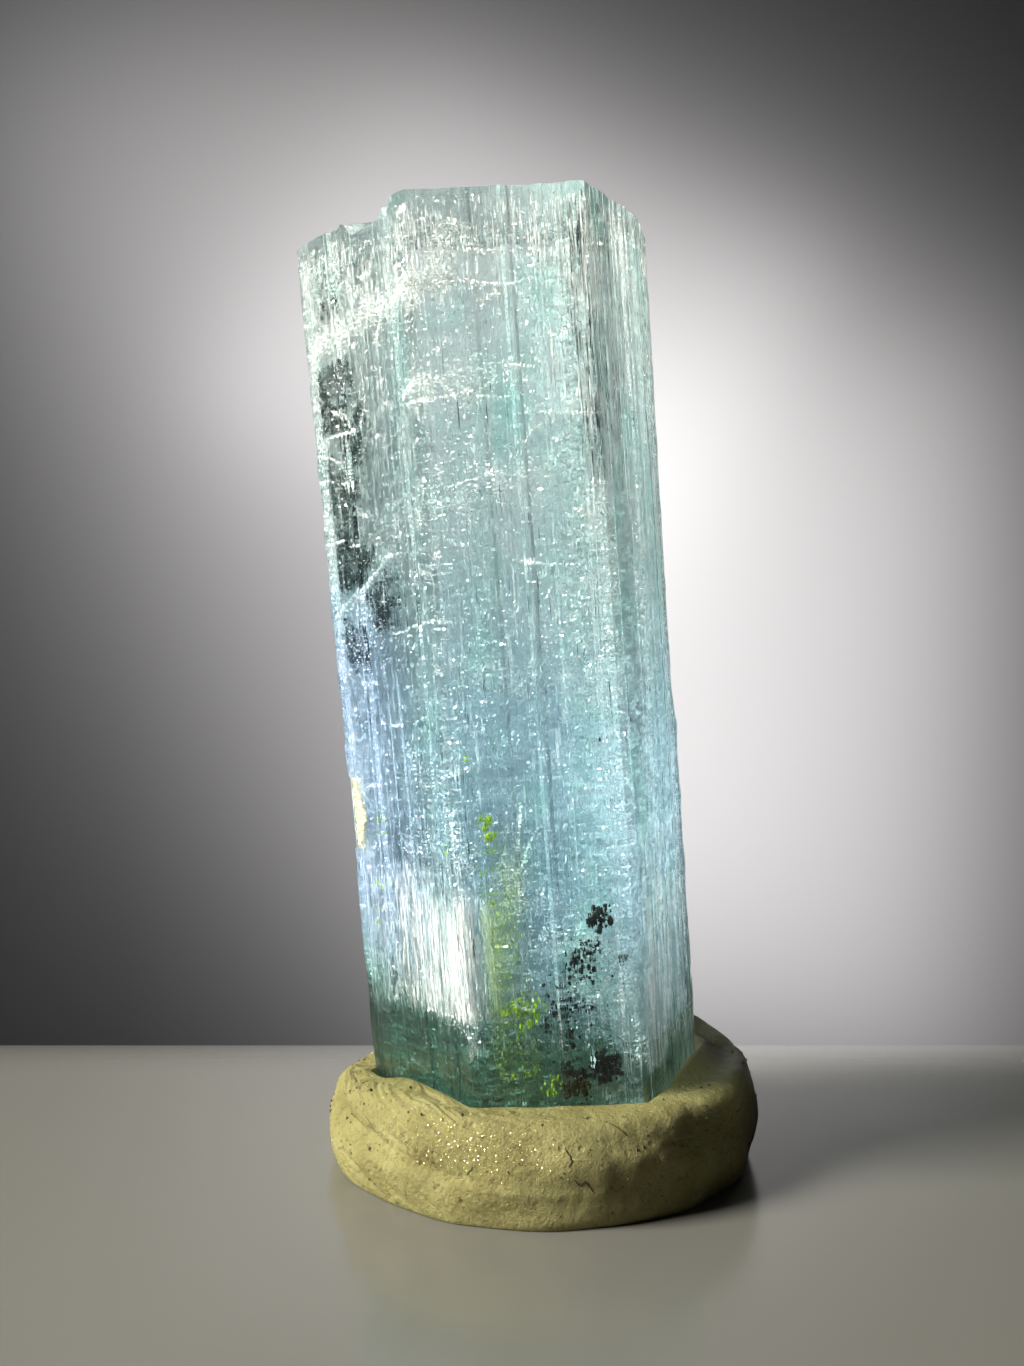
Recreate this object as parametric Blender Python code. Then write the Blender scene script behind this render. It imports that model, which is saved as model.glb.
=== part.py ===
"""An aquamarine crystal standing in a ring of display putty.

The crystal is one six-sided prism of beryl with a flat striated termination and a broken foot. It leans a
little to its left and forwards, and a rope of putty is pressed round the foot to hold it there.
Run it with: blender --background --python part.py
"""

import math
import random

import bmesh
import bpy
from mathutils import Matrix, Vector, noise

MM = 0.001  # every length below is in millimetres until it reaches Blender

# The crystal, in its own frame: local Z is its long axis, local -Y its front face
CRYSTAL_LENGTH = 37.2
FRONT_SIDE = 6.5  # widths of the prism faces, anticlockwise from the front
FRONT_RIGHT_SIDE = 7.0
BACK_RIGHT_SIDE = 7.3
FRONT_LEFT_SIDE = 8.05
FRONT_LEFT_X = -3.5  # corner between the front and the front left face
FRONT_Y = -6.3
TAPER = 0.04  # how much wider the crystal is at its tip than at its foot
LEAN_LEFT = math.radians(4.4)
LEAN_FORWARD = math.radians(5.6)
SPIN = math.radians(4.4)
FOOT_PLACE = (0.57, 0.6)  # where the long axis meets the surface, from the putty's centre
FOOT_CLEARANCE = 0.3  # the broken foot stays this far above the surface

# Relief of the prism faces: upright laths at different depths, all cut into the plain prism
LATHS = 8  # on each face
COLUMNS = 2 * LATHS + 1  # lines of points across each face: its corner, then two at each lath
LATH_WIDTHS = (0.35, 1.8)  # narrowest and widest, as shares of the mean
STEP_WIDTH = 0.1  # of the riser between two laths
CORNER_WIDTH = 0.3  # of the worn strip on each side of an edge
EDGE_WEAR = 0.12
EDGE_WEAR_PITCH = 0.35  # how fast the wear varies along an edge
LATH_DEPTH = 0.12
LATH_ENDS = (-0.4, 1.1)  # where a lath breaks off, as shares of the length; outside 0 to 1 it doesn't
LATH_END_DEPTH = 0.14  # how much deeper or shallower a lath is beyond that
LATH_END_SLOPE = 1.0
SIDE_RINGS = 30
TOP_RINGS = 6
FOOT_RINGS = 3
RELIEF_SEED = 23

# Broken places of the termination: centre in the crystal's frame, reach and depth
TIP_NOTCH = (Vector((-4.8, -4.4)), 1.7, 0.6)
TIP_CHIP = (Vector((6.8, -0.1)), 1.2, 0.45)
DENT_FLOOR = 0.55  # share of the reach where a broken place has its full depth
TIP_HILLOCKS = 0.12
HILLOCK_PITCH = 0.3
CAP_CROWDING = 1.8  # the rings of points on the two ends lie closer together near the rim
CAP_RELIEF_FADE = 8  # how fast the relief of the sides fades from the rim of an end to its middle

# Scar on the left edge
EDGE_CHIP_HEIGHT = 14.6
EDGE_CHIP_LENGTH = 3.0
EDGE_CHIP_DEPTH = 0.35
FOOT_ROUGHNESS = 0.3
FOOT_PITCH = 0.25

# The putty ring, centred on the origin, with the surface it stands on at Z = 0
PUTTY_GAP = 0.3
PUTTY_SEGMENTS = 92
PUTTY_TUBE_SEGMENTS = 20
INNER_SQUARENESS = 0.32  # 1 is round and 0 is square, where the putty is pressed to the crystal
OUTER_SQUARENESS = 0.9
FLAT_UNDER = 0.72  # how far down its round side the putty turns into its flat underside
LUMP_SIZE = 0.14
LUMP_PITCH = 3.2
SIDE_LUMPS = 1.6  # how much larger the lumps are on the outer side than on top
VALLEY_HEADING = math.radians(5)  # a thumb's dent between the crystal and the putty's right rim
VALLEY_WIDTH = math.radians(34)
VALLEY_DEPTH = 0.7
SEAM_START = math.radians(172)  # where the rope's free end lies over its beginning
SEAM_END = math.radians(285)
SEAM_HIGH = math.radians(48)  # where it starts on the rope's side, and where it runs out
SEAM_LOW = math.radians(-27)
SEAM_WIDTH = math.radians(17)
SEAM_DEPTH = 0.5
SEAM_OPENING = 0.08  # share of its length over which it reaches that depth
SEAM_FADE = 0.6

# Height of the putty and radius of its outer side at each heading, anticlockwise from the right
ROPE = (
    (0, 4.4, 8.8),
    (45, 4.95, 9.0),
    (90, 3.8, 8.7),
    (135, 3.3, 8.6),
    (180, 3.2, 8.8),
    (225, 3.9, 8.7),
    (270, 3.7, 8.75),
    (315, 3.75, 8.5),
)

CRYSTAL_COLOUR = (0.42, 0.72, 0.76, 1.0)
PUTTY_COLOUR = (0.52, 0.47, 0.25, 1.0)


def clear_scene():
    for obj in list(bpy.data.objects):
        bpy.data.objects.remove(obj)


def material(name, colour, roughness, transmission=0.0, ior=1.45):
    made = bpy.data.materials.new(name)
    made.use_nodes = True
    shader = made.node_tree.nodes["Principled BSDF"]
    shader.inputs["Base Color"].default_value = colour
    shader.inputs["Roughness"].default_value = roughness
    shader.inputs["Metallic"].default_value = 0.0
    shader.inputs["Transmission Weight"].default_value = transmission
    shader.inputs["IOR"].default_value = ior
    return made


def smooth(low, high, value):
    """0 below low, 1 above high and an S curve between them."""
    share = min(max((value - low) / (high - low), 0.0), 1.0)
    return share * share * (3 - 2 * share)


def prism_corners():
    """The six corners of the prism, anticlockwise from the front left one. All angles are 120 degrees."""
    back_side = FRONT_SIDE + FRONT_LEFT_SIDE - BACK_RIGHT_SIDE
    back_left_side = FRONT_SIDE + FRONT_RIGHT_SIDE - back_side
    sides = (FRONT_SIDE, FRONT_RIGHT_SIDE, BACK_RIGHT_SIDE, back_side, back_left_side)
    corners = [Vector((FRONT_LEFT_X, FRONT_Y))]
    for turn, side in enumerate(sides):
        heading = math.radians(60 * turn)
        corners.append(corners[-1] + side * Vector((math.cos(heading), math.sin(heading))))
    return corners


CORNERS = prism_corners()
CENTRE = sum(CORNERS, Vector((0, 0))) / 6


def outward(face):
    heading = math.radians(60 * face - 90)
    return Vector((math.cos(heading), math.sin(heading)))


def crystal_frame():
    """The crystal's own frame as a matrix, in millimetres from the putty's centre."""
    lean = Matrix.Rotation(-LEAN_LEFT, 4, "Y") @ Matrix.Rotation(LEAN_FORWARD, 4, "X")
    return Matrix.Translation((*FOOT_PLACE, 0)) @ lean @ Matrix.Rotation(SPIN, 4, "Z")


CRYSTAL_FRAME = crystal_frame()


def random_laths():
    """A list of laths for each face: (left border, right border, depth, height of end, depth beyond)."""
    draw = random.Random(RELIEF_SEED)
    faces = []
    for face in range(6):
        width = (CORNERS[(face + 1) % 6] - CORNERS[face]).length - 2 * CORNER_WIDTH
        shares = [draw.uniform(*LATH_WIDTHS) for _ in range(LATHS)]
        laths = []
        border = CORNER_WIDTH
        for share in shares:
            next_border = border + width * share / sum(shares)
            depth = LATH_DEPTH * draw.random()
            end = draw.uniform(*LATH_ENDS) * CRYSTAL_LENGTH
            laths.append((border, next_border, depth, end, draw.uniform(-1.0, 1.0) * LATH_END_DEPTH))
            border = next_border
        faces.append(laths)
    return faces


LATHS_OF_FACES = random_laths()


def column_place(face, column):
    """Distance of a line of points from the start of its face."""
    if column == 0:
        return 0.0
    left, right, _, _, _ = LATHS_OF_FACES[face][(column - 1) // 2]
    return left + STEP_WIDTH / 2 if column % 2 else right - STEP_WIDTH / 2


def lath_depth(face, lath, height):
    _, _, depth, end, end_depth = LATHS_OF_FACES[face][lath]
    beyond = smooth(end - LATH_END_SLOPE, end + LATH_END_SLOPE, height)
    return max(depth + end_depth * beyond, 0.0)


def side_relief(face, column, height):
    """How deep the face is cut at this line of points and height."""
    if column:
        return lath_depth(face, (column - 1) // 2, height)
    wear = EDGE_WEAR * (0.6 + abs(noise.noise((face * 5.0, 3.0, height * EDGE_WEAR_PITCH))))
    return wear + max(lath_depth(face, 0, height), lath_depth(face - 1, LATHS - 1, height))


def edge_chip(around, height):
    """The scar on the left edge, between the front left and back left faces."""
    from_edge = abs(around - 5 * COLUMNS)
    along = abs(height - EDGE_CHIP_HEIGHT) / (EDGE_CHIP_LENGTH / 2)
    return EDGE_CHIP_DEPTH if from_edge <= 1 and along < 1 else 0.0


def dent(point, where):
    centre, size, depth = where
    return depth * (1 - smooth(DENT_FLOOR * size, size, (point - centre).length))


def tip_height(point):
    """Height of the termination: nearly flat, with low growth hillocks and two broken places."""
    hillocks = TIP_HILLOCKS * abs(noise.noise((*(point * HILLOCK_PITCH), 4.0)))
    return CRYSTAL_LENGTH - hillocks - dent(point, TIP_NOTCH) - dent(point, TIP_CHIP)


def foot_height(point):
    """Height of the broken foot. It is level when the crystal leans, so the crystal can stand on it."""
    down = CRYSTAL_FRAME.to_3x3().row[2]
    level = (FOOT_CLEARANCE - down.x * point.x - down.y * point.y) / down.z
    return level + FOOT_ROUGHNESS * (0.5 + 0.5 * noise.noise((*(point * FOOT_PITCH), 9.0)))


def cap_point(plain, relief, from_centre, height_at):
    """A point of one end of the crystal. The relief of the sides runs in only a little way from the rim."""
    point = CENTRE.lerp(plain, from_centre) + relief * from_centre**CAP_RELIEF_FADE
    return point, height_at(point)


def crystal_point(segment, ring):
    """The place of one point of the crystal, in its own frame, in millimetres."""
    face, column = divmod(segment, COLUMNS)
    start, end = CORNERS[face], CORNERS[(face + 1) % 6]
    plain = start + (end - start).normalized() * column_place(face, column)
    low, high = foot_height(plain), tip_height(plain)
    share = min(max((ring - FOOT_RINGS) / SIDE_RINGS, 0.0), 1.0)
    height = low + (high - low) * share
    depth = side_relief(face, column, height) + edge_chip(segment, height)
    relief = -depth * (outward(face) if column else (outward(face) + outward(face - 1)).normalized())
    point = plain + relief
    if ring < FOOT_RINGS:
        point, height = cap_point(plain, relief, 1 - (1 - ring / FOOT_RINGS) ** CAP_CROWDING, foot_height)
    elif ring > FOOT_RINGS + SIDE_RINGS:
        inwards = (ring - FOOT_RINGS - SIDE_RINGS) / TOP_RINGS
        point, height = cap_point(plain, relief, 1 - inwards**CAP_CROWDING, tip_height)
    wider = 1 + TAPER * (height / CRYSTAL_LENGTH - 0.5)
    return Vector((point.x * wider, point.y * wider, height))


def shaped_sphere(name, segments, rings, place):
    """A closed body: a UV sphere whose points are moved to place(segment, ring)."""
    body = bmesh.new()
    bmesh.ops.create_uvsphere(body, u_segments=segments, v_segments=rings, radius=1.0)
    for vertex in body.verts:
        around = math.atan2(-vertex.co.x, vertex.co.y) / math.tau * segments
        along = 1 - math.acos(max(-1.0, min(1.0, vertex.co.z))) / math.pi
        vertex.co = place(round(around) % segments, round(along * rings)) * MM
    return mesh_object(name, body)


def mesh_object(name, body):
    mesh = bpy.data.meshes.new(name)
    bmesh.ops.recalc_face_normals(body, faces=body.faces)
    body.to_mesh(mesh)
    body.free()
    return bpy.data.objects.new(name, mesh)


def crystal():
    rings = FOOT_RINGS + SIDE_RINGS + TOP_RINGS
    made = shaped_sphere("crystal", 6 * COLUMNS, rings, crystal_point)
    place, turn, _ = CRYSTAL_FRAME.decompose()
    made.location = place * MM
    made.rotation_mode = "QUATERNION"
    made.rotation_quaternion = turn
    made.data.materials.append(material("aquamarine", CRYSTAL_COLOUR, 0.12, 1.0, 1.575))
    return made


def reach_of_prism(heading, height):
    """How far the plain prism reaches from the putty's axis at this heading and height."""
    to_crystal = CRYSTAL_FRAME.inverted()
    start = to_crystal @ Vector((0, 0, height))
    along = to_crystal.to_3x3() @ Vector((math.cos(heading), math.sin(heading), 0))
    narrow = 1 + TAPER * (height / CRYSTAL_LENGTH - 0.5)
    reach = math.inf
    for face, corner in enumerate(CORNERS):
        normal = outward(face)
        closing = normal.dot(along.xy)
        if closing > 0.05:
            reach = min(reach, (normal.dot(corner) * narrow - normal.dot(start.xy)) / closing)
    return reach


def rope_size(heading):
    """(height, outer radius) of the putty at this heading, joined smoothly between the stations of ROPE."""
    step = math.tau / len(ROPE)
    station = heading % math.tau / step
    here = int(station) % len(ROPE)
    share = smooth(0, 1, station - int(station))
    _, height, radius = ROPE[here]
    _, next_height, next_radius = ROPE[(here + 1) % len(ROPE)]
    return height + (next_height - height) * share, radius + (next_radius - radius) * share


def seam_cut(heading, tube):
    """Depth of the spiral groove between the rope's free end and the strand that it lies on."""
    share = (heading % math.tau - SEAM_START) / (SEAM_END - SEAM_START)
    if not 0 <= share <= 1:
        return 0.0
    middle = SEAM_HIGH + (SEAM_LOW - SEAM_HIGH) * share
    across = (tube - middle) / SEAM_WIDTH
    along = smooth(0.0, SEAM_OPENING, share) * (1 - share) ** SEAM_FADE
    return SEAM_DEPTH * along * math.exp(-across * across)


def valley(heading, across):
    """Depth of the dent at this heading. across is 0 at the crystal and 1 at the putty's outer side."""
    turn = math.remainder(heading - VALLEY_HEADING, math.tau) / VALLEY_WIDTH
    return VALLEY_DEPTH * math.exp(-turn * turn) * math.sin(math.pi * across) ** 2


def power(value, exponent):
    return math.copysign(abs(value) ** exponent, value)


def putty_point(heading, tube):
    """The place of one point of the putty ring. tube is 0 on its outer side and turns up and inwards."""
    squareness = OUTER_SQUARENESS if math.cos(tube) > 0 else INNER_SQUARENESS
    across = (1 + power(math.cos(tube), squareness)) / 2
    up = power(math.sin(tube), squareness)
    height, outer = rope_size(heading)
    at = Vector((math.cos(heading), math.sin(heading), 0.5 * math.sin(tube)))
    lump = LUMP_SIZE * noise.noise(LUMP_PITCH * at)
    cut = seam_cut(heading, tube)
    share = max((up + FLAT_UNDER) / (1 + FLAT_UNDER), 0.0)
    z = share * (height + lump - max(up, 0.0) * (cut + valley(heading, across)))
    inner = reach_of_prism(heading, z) + PUTTY_GAP
    radius = inner + (outer - inner) * across + max(2 * across - 1, 0.0) * (lump * SIDE_LUMPS - cut)
    return Vector((radius * math.cos(heading), radius * math.sin(heading), z))


def putty_ring():
    bpy.ops.mesh.primitive_torus_add(
        major_segments=PUTTY_SEGMENTS,
        minor_segments=PUTTY_TUBE_SEGMENTS,
        major_radius=1.0,
        minor_radius=0.25,
    )
    made = bpy.context.object
    made.name = made.data.name = "putty_ring"
    for vertex in made.data.vertices:
        heading = math.atan2(vertex.co.y, vertex.co.x)
        tube = math.atan2(vertex.co.z, vertex.co.xy.length - 1.0)
        vertex.co = putty_point(heading, tube) * MM
    made.data.shade_smooth()
    made.data.materials.append(material("putty", PUTTY_COLOUR, 0.6))
    return made


def low_and_high(objects):
    points = [obj.matrix_world @ vertex.co for obj in objects for vertex in obj.data.vertices]
    low = Vector([min(point[axis] for point in points) for axis in range(3)])
    high = Vector([max(point[axis] for point in points) for axis in range(3)])
    return low, high


def main():
    clear_scene()
    parts = bpy.data.collections.new("aquamarine_specimen")
    bpy.context.scene.collection.children.link(parts)
    stand = bpy.data.objects.new("specimen", None)
    parts.objects.link(stand)
    pieces = [crystal(), putty_ring()]
    for piece in pieces:
        for collection in piece.users_collection:
            collection.objects.unlink(piece)
        parts.objects.link(piece)
        piece.parent = stand
    bpy.context.view_layer.update()
    low, high = low_and_high(pieces)
    stand.location = (-(low.x + high.x) / 2, -(low.y + high.y) / 2, -low.z)


main()
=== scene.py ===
"""The looks of an aquamarine crystal that stands in a ring of display putty.

The two pieces repeat the forms of the CAD solids at a finer scale and stand for them. Inclusions, dust, the
floor, the backdrop, the lights and the camera follow. Lengths are in millimetres until they reach Blender.
"""

import math
import random

import bpy
import numpy as np
from mathutils import Matrix, Vector, noise


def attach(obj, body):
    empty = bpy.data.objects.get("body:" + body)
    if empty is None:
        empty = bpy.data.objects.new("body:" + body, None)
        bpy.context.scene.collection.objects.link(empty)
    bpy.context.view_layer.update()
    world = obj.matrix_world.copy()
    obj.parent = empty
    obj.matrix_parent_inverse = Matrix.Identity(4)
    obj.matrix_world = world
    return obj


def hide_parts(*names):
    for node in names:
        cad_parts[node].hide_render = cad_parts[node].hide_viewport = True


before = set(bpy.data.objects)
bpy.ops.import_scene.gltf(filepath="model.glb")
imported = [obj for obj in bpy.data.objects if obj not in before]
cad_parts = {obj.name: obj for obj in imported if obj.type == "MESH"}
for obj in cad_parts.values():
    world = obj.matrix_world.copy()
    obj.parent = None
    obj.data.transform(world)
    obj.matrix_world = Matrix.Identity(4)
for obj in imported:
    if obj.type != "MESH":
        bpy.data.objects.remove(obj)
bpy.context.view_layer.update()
MM = 0.001

# The crystal's form, with the same values as the CAD solid
CRYSTAL_LENGTH = 37.2
FRONT_SIDE = 6.5
FRONT_RIGHT_SIDE = 7.0
BACK_RIGHT_SIDE = 7.3
FRONT_LEFT_SIDE = 8.05
FRONT_LEFT_X = -3.5
FRONT_Y = -6.3
TAPER = 0.04
LEAN_LEFT = math.radians(4.4)
LEAN_FORWARD = math.radians(5.6)
SPIN = math.radians(4.4)
FOOT_PLACE = (0.57, 0.6)
FOOT_CLEARANCE = 0.3
LATHS = 8
LATH_WIDTHS = (0.35, 1.8)
STEP_WIDTH = 0.1
CORNER_WIDTH = 0.3
EDGE_WEAR = 0.12
EDGE_WEAR_PITCH = 0.35
LATH_DEPTH = 0.12
LATH_ENDS = (-0.4, 1.1)
LATH_END_DEPTH = 0.14
LATH_END_SLOPE = 1.0
RELIEF_SEED = 23
TIP_NOTCH = (Vector((-4.8, -4.4)), 1.7, 0.6)
TIP_CHIP = (Vector((6.8, -0.1)), 1.2, 0.45)
DENT_FLOOR = 0.55
TIP_HILLOCKS = 0.12
HILLOCK_PITCH = 0.3
EDGE_CHIP_HEIGHT = 14.6
EDGE_CHIP_LENGTH = 3.0
EDGE_CHIP_DEPTH = 0.35
FOOT_ROUGHNESS = 0.3
FOOT_PITCH = 0.25

# The finer relief of the crystal's surface
STRIAE = 4  # fine laths on each lath
STRIA_WIDTHS = (0.3, 1.7)
STRIA_ENDS = (-0.2, 1.2)
STRIA_DEPTH = 0.035
STRIA_STEP = 0.02
SIDE_RINGS = 165
TOP_RINGS = 24
FOOT_RINGS = 6
ETCH_DEPTH = 0.012
SURFACE_INSET = 0.003
SHARP_ANGLE = math.radians(22)  # steeper creases stay crisp
CHIP_DEPTH = 0.22

# The putty's form, with the same values as the CAD solid
INNER_SQUARENESS = 0.32
OUTER_SQUARENESS = 0.9
FLAT_UNDER = 0.72
LUMP_SIZE = 0.14
LUMP_PITCH = 3.2
SIDE_LUMPS = 1.6
VALLEY_HEADING = math.radians(5)
VALLEY_WIDTH = math.radians(34)
VALLEY_DEPTH = 0.7
SEAM_START = math.radians(172)
SEAM_END = math.radians(285)
SEAM_HIGH = math.radians(48)
SEAM_LOW = math.radians(-27)
SEAM_WIDTH = math.radians(17)
SEAM_DEPTH = 0.5
SEAM_OPENING = 0.08
SEAM_FADE = 0.6
ROPE = (
    (0, 4.4, 8.8),
    (45, 4.95, 9.0),
    (90, 3.8, 8.7),
    (135, 3.3, 8.6),
    (180, 3.2, 8.8),
    (225, 3.9, 8.7),
    (270, 3.7, 8.75),
    (315, 3.75, 8.5),
)
PUTTY_TOUCH = -0.06  # the putty is pressed into the striae of the crystal by this much
PUTTY_SEGMENTS = 580
PUTTY_TUBE_SEGMENTS = 140

PUTTY_CENTRE = Vector((0.4609, 0.4631, 0.0))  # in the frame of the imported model

# The camera, from the photograph's perspective
CAMERA_FROM_PUTTY = Vector((-1.243, -52.237, 18.55))
CAMERA_PITCH = math.radians(0.78)
LENS = 32.94
SENSOR_WIDTH = 36.0
CLIP = (0.002, 20.0)


def smooth(low, high, value):
    """0 below low, 1 above high and an S curve between them."""
    share = min(max((value - low) / (high - low), 0.0), 1.0)
    return share * share * (3 - 2 * share)


def ramp(low, high, values):
    """The same S curve for an array."""
    share = np.clip((values - low) / (high - low), 0.0, 1.0)
    return share * share * (3 - 2 * share)


def taper(height):
    """How much wider the prism is at this height than at its middle."""
    return 1 + TAPER * (height / CRYSTAL_LENGTH - 0.5)


def prism_corners():
    """The six corners of the prism, anticlockwise from the front left one."""
    back_side = FRONT_SIDE + FRONT_LEFT_SIDE - BACK_RIGHT_SIDE
    back_left_side = FRONT_SIDE + FRONT_RIGHT_SIDE - back_side
    sides = (FRONT_SIDE, FRONT_RIGHT_SIDE, BACK_RIGHT_SIDE, back_side, back_left_side)
    corners = [Vector((FRONT_LEFT_X, FRONT_Y))]
    for turn, side in enumerate(sides):
        heading = math.radians(60 * turn)
        corners.append(corners[-1] + side * Vector((math.cos(heading), math.sin(heading))))
    return corners


CORNERS = prism_corners()
CENTRE = sum(CORNERS, Vector((0, 0))) / 6


def outward(face):
    heading = math.radians(60 * face - 90)
    return Vector((math.cos(heading), math.sin(heading)))


def side_of(face):
    return CORNERS[(face + 1) % 6] - CORNERS[face]


# Places round the crystal run from the front left corner: over the front face, and on to the right
STARTS = [sum(side_of(earlier).length for earlier in range(face)) for face in range(6)]
GIRTH = sum(side_of(face).length for face in range(6))


def crystal_frame():
    """The crystal's own frame as a matrix, in millimetres from the putty's centre."""
    lean = Matrix.Rotation(-LEAN_LEFT, 4, "Y") @ Matrix.Rotation(LEAN_FORWARD, 4, "X")
    return Matrix.Translation((*FOOT_PLACE, 0)) @ lean @ Matrix.Rotation(SPIN, 4, "Z")


CRYSTAL_FRAME = crystal_frame()


def strips(draw, start, width, count, shares):
    """Cuts a width into strips of random shares: the left and right border of each."""
    drawn = [draw.uniform(*shares) for _ in range(count)]
    borders = [start]
    for share in drawn:
        borders.append(borders[-1] + width * share / sum(drawn))
    return zip(borders, borders[1:])


def random_laths():
    """A list of laths for each face: (left border, right border, depth, height of end, depth beyond)."""
    draw = random.Random(RELIEF_SEED)
    faces = []
    for face in range(6):
        width = side_of(face).length - 2 * CORNER_WIDTH
        laths = []
        for left, right in strips(draw, CORNER_WIDTH, width, LATHS, LATH_WIDTHS):
            depth = LATH_DEPTH * draw.random()
            end = draw.uniform(*LATH_ENDS) * CRYSTAL_LENGTH
            laths.append((left, right, depth, end, draw.uniform(-1.0, 1.0) * LATH_END_DEPTH))
        faces.append(laths)
    return faces


LATHS_OF_FACES = random_laths()


def lath_depth(face, lath, height):
    _, _, depth, end, end_depth = LATHS_OF_FACES[face][lath]
    beyond = smooth(end - LATH_END_SLOPE, end + LATH_END_SLOPE, height)
    return max(depth + end_depth * beyond, 0.0)


def dent(point, where):
    centre, size, depth = where
    return depth * (1 - smooth(DENT_FLOOR * size, size, (point - centre).length))


def tip_height(point):
    hillocks = TIP_HILLOCKS * abs(noise.noise((*(point * HILLOCK_PITCH), 4.0)))
    return CRYSTAL_LENGTH - hillocks - dent(point, TIP_NOTCH) - dent(point, TIP_CHIP)


def foot_height(point):
    down = CRYSTAL_FRAME.to_3x3().row[2]
    level = (FOOT_CLEARANCE - down.x * point.x - down.y * point.y) / down.z
    return level + FOOT_ROUGHNESS * (0.5 + 0.5 * noise.noise((*(point * FOOT_PITCH), 9.0)))


def striae_of(draw, face):
    """The fine laths of a face: (left border, right border, lath, depth, end, depth beyond)."""
    striae = []
    for lath, (start, stop, *_) in enumerate(LATHS_OF_FACES[face]):
        width = stop - start - STEP_WIDTH
        for left, right in strips(draw, start + STEP_WIDTH / 2, width, STRIAE, STRIA_WIDTHS):
            depth = draw.random() ** 1.5 * STRIA_DEPTH
            end = draw.uniform(*STRIA_ENDS) * CRYSTAL_LENGTH
            striae.append((left, right, lath, depth, end, draw.uniform(-1.0, 1.0) * STRIA_DEPTH))
    return striae


# Deep single striae: place round the crystal, low and high end, depth, half width
GROOVES = (
    (4.61, 35.3, 37.6, 0.16, 0.07),
    (4.70, 32.2, 34.8, 0.12, 0.07),
    (6.29, 33.4, 37.4, 0.12, 0.05),
    (3.92, 34.9, 37.4, 0.07, 0.06),
    (1.56, 20.0, 27.0, 0.05, 0.05),
    (5.73, 19.0, 24.5, 0.06, 0.05),
    (1.10, 8.0, 14.0, 0.06, 0.05),
    (7.02, 30.0, 37.4, 0.12, 0.05),
    (7.45, 29.5, 37.4, 0.14, 0.06),
    (8.10, 29.5, 37.4, 0.14, 0.06),
    (8.50, 27.0, 36.0, 0.12, 0.05),
    (9.00, 26.0, 37.4, 0.14, 0.06),
    (9.60, 28.0, 35.0, 0.10, 0.05),
    (10.44, 5.0, 12.0, 0.10, 0.06),
    (11.95, 12.0, 30.0, 0.10, 0.06),
    (-0.50, 7.0, 16.0, 0.07, 0.05),
    (-1.00, 7.0, 14.0, 0.07, 0.04),
    (-1.45, 7.0, 15.0, 0.07, 0.05),
    (-1.90, 7.0, 13.0, 0.07, 0.04),
    (-2.40, 6.0, 14.0, 0.07, 0.05),
    (-3.00, 6.0, 13.0, 0.07, 0.05),
    (-3.70, 6.0, 20.0, 0.07, 0.05),
)


def stria_lines():
    """The upright lines of points round the crystal: (face, place across it, stria, grooves' depths)."""
    draw = random.Random(RELIEF_SEED + 5)
    lines = []
    for face in range(6):
        striae = striae_of(draw, face)
        places = []
        for left, right, *_ in striae:
            inset = min(STRIA_STEP, 0.3 * (right - left)) / 2
            places.extend((left + inset, right - inset))
        for around, _, _, _, half in GROOVES:
            place = (around - STARTS[face]) % GIRTH
            if place < side_of(face).length - CORNER_WIDTH:
                places.extend((place - half, place - 0.4 * half, place + 0.4 * half, place + half))
        lines.append((face, 0.0, None))
        for place in sorted(places):
            stria = min(striae, key=lambda one: max(one[0] - place, place - one[1]))
            lines.append((face, place, stria))
    return lines


def groove_depth(face, place, height):
    deepest = 0.0
    for around, low, high, depth, half in GROOVES:
        if abs((around - STARTS[face]) % GIRTH - place) < 0.6 * half:
            ends = smooth(low - 0.3, low + 0.8, height) * (1 - smooth(high - 0.8, high + 0.3, height))
            deepest = max(deepest, depth * ends)
    return deepest


def edge_depth(face, height):
    """Wear and small chips of the edge before this face."""
    wear = EDGE_WEAR * (0.6 + abs(noise.noise((face * 5.0, 3.0, height * EDGE_WEAR_PITCH))))
    chips = CHIP_DEPTH * max(noise.noise((face * 7.0, 1.0, height * 1.1)) - 0.25, 0.0)
    beside = max(lath_depth(face, 0, height), lath_depth(face - 1, LATHS - 1, height))
    return wear + chips + beside


def stria_strength(face, height):
    """The striae are strongest high on the front right face."""
    if face == 1:
        return 1.0 + 1.6 * smooth(24.0, 33.0, height)
    return 1.0


def surface_depth(line, height):
    """How deep the surface lies under the plain prism on this line at this height."""
    face, place, stria = line
    if stria is None:
        cut = edge_depth(face, height)
    else:
        _, _, lath, depth, end, beyond = stria
        fine = depth + beyond * smooth(end - 0.3, end + 0.3, height)
        etch = ETCH_DEPTH * (1 + noise.noise((place * 2.2 + face * 31, height * 0.9, 2.0)))
        cut = lath_depth(face, lath, height) + max(fine, 0.0) * stria_strength(face, height) + etch
        cut += groove_depth(face, place, height)
    along = abs(height - EDGE_CHIP_HEIGHT) / (EDGE_CHIP_LENGTH / 2)
    if face == 5 and place < CORNER_WIDTH + 0.1 and along < 1:
        cut += EDGE_CHIP_DEPTH * (1 - along**4)
    return cut + SURFACE_INSET


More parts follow.
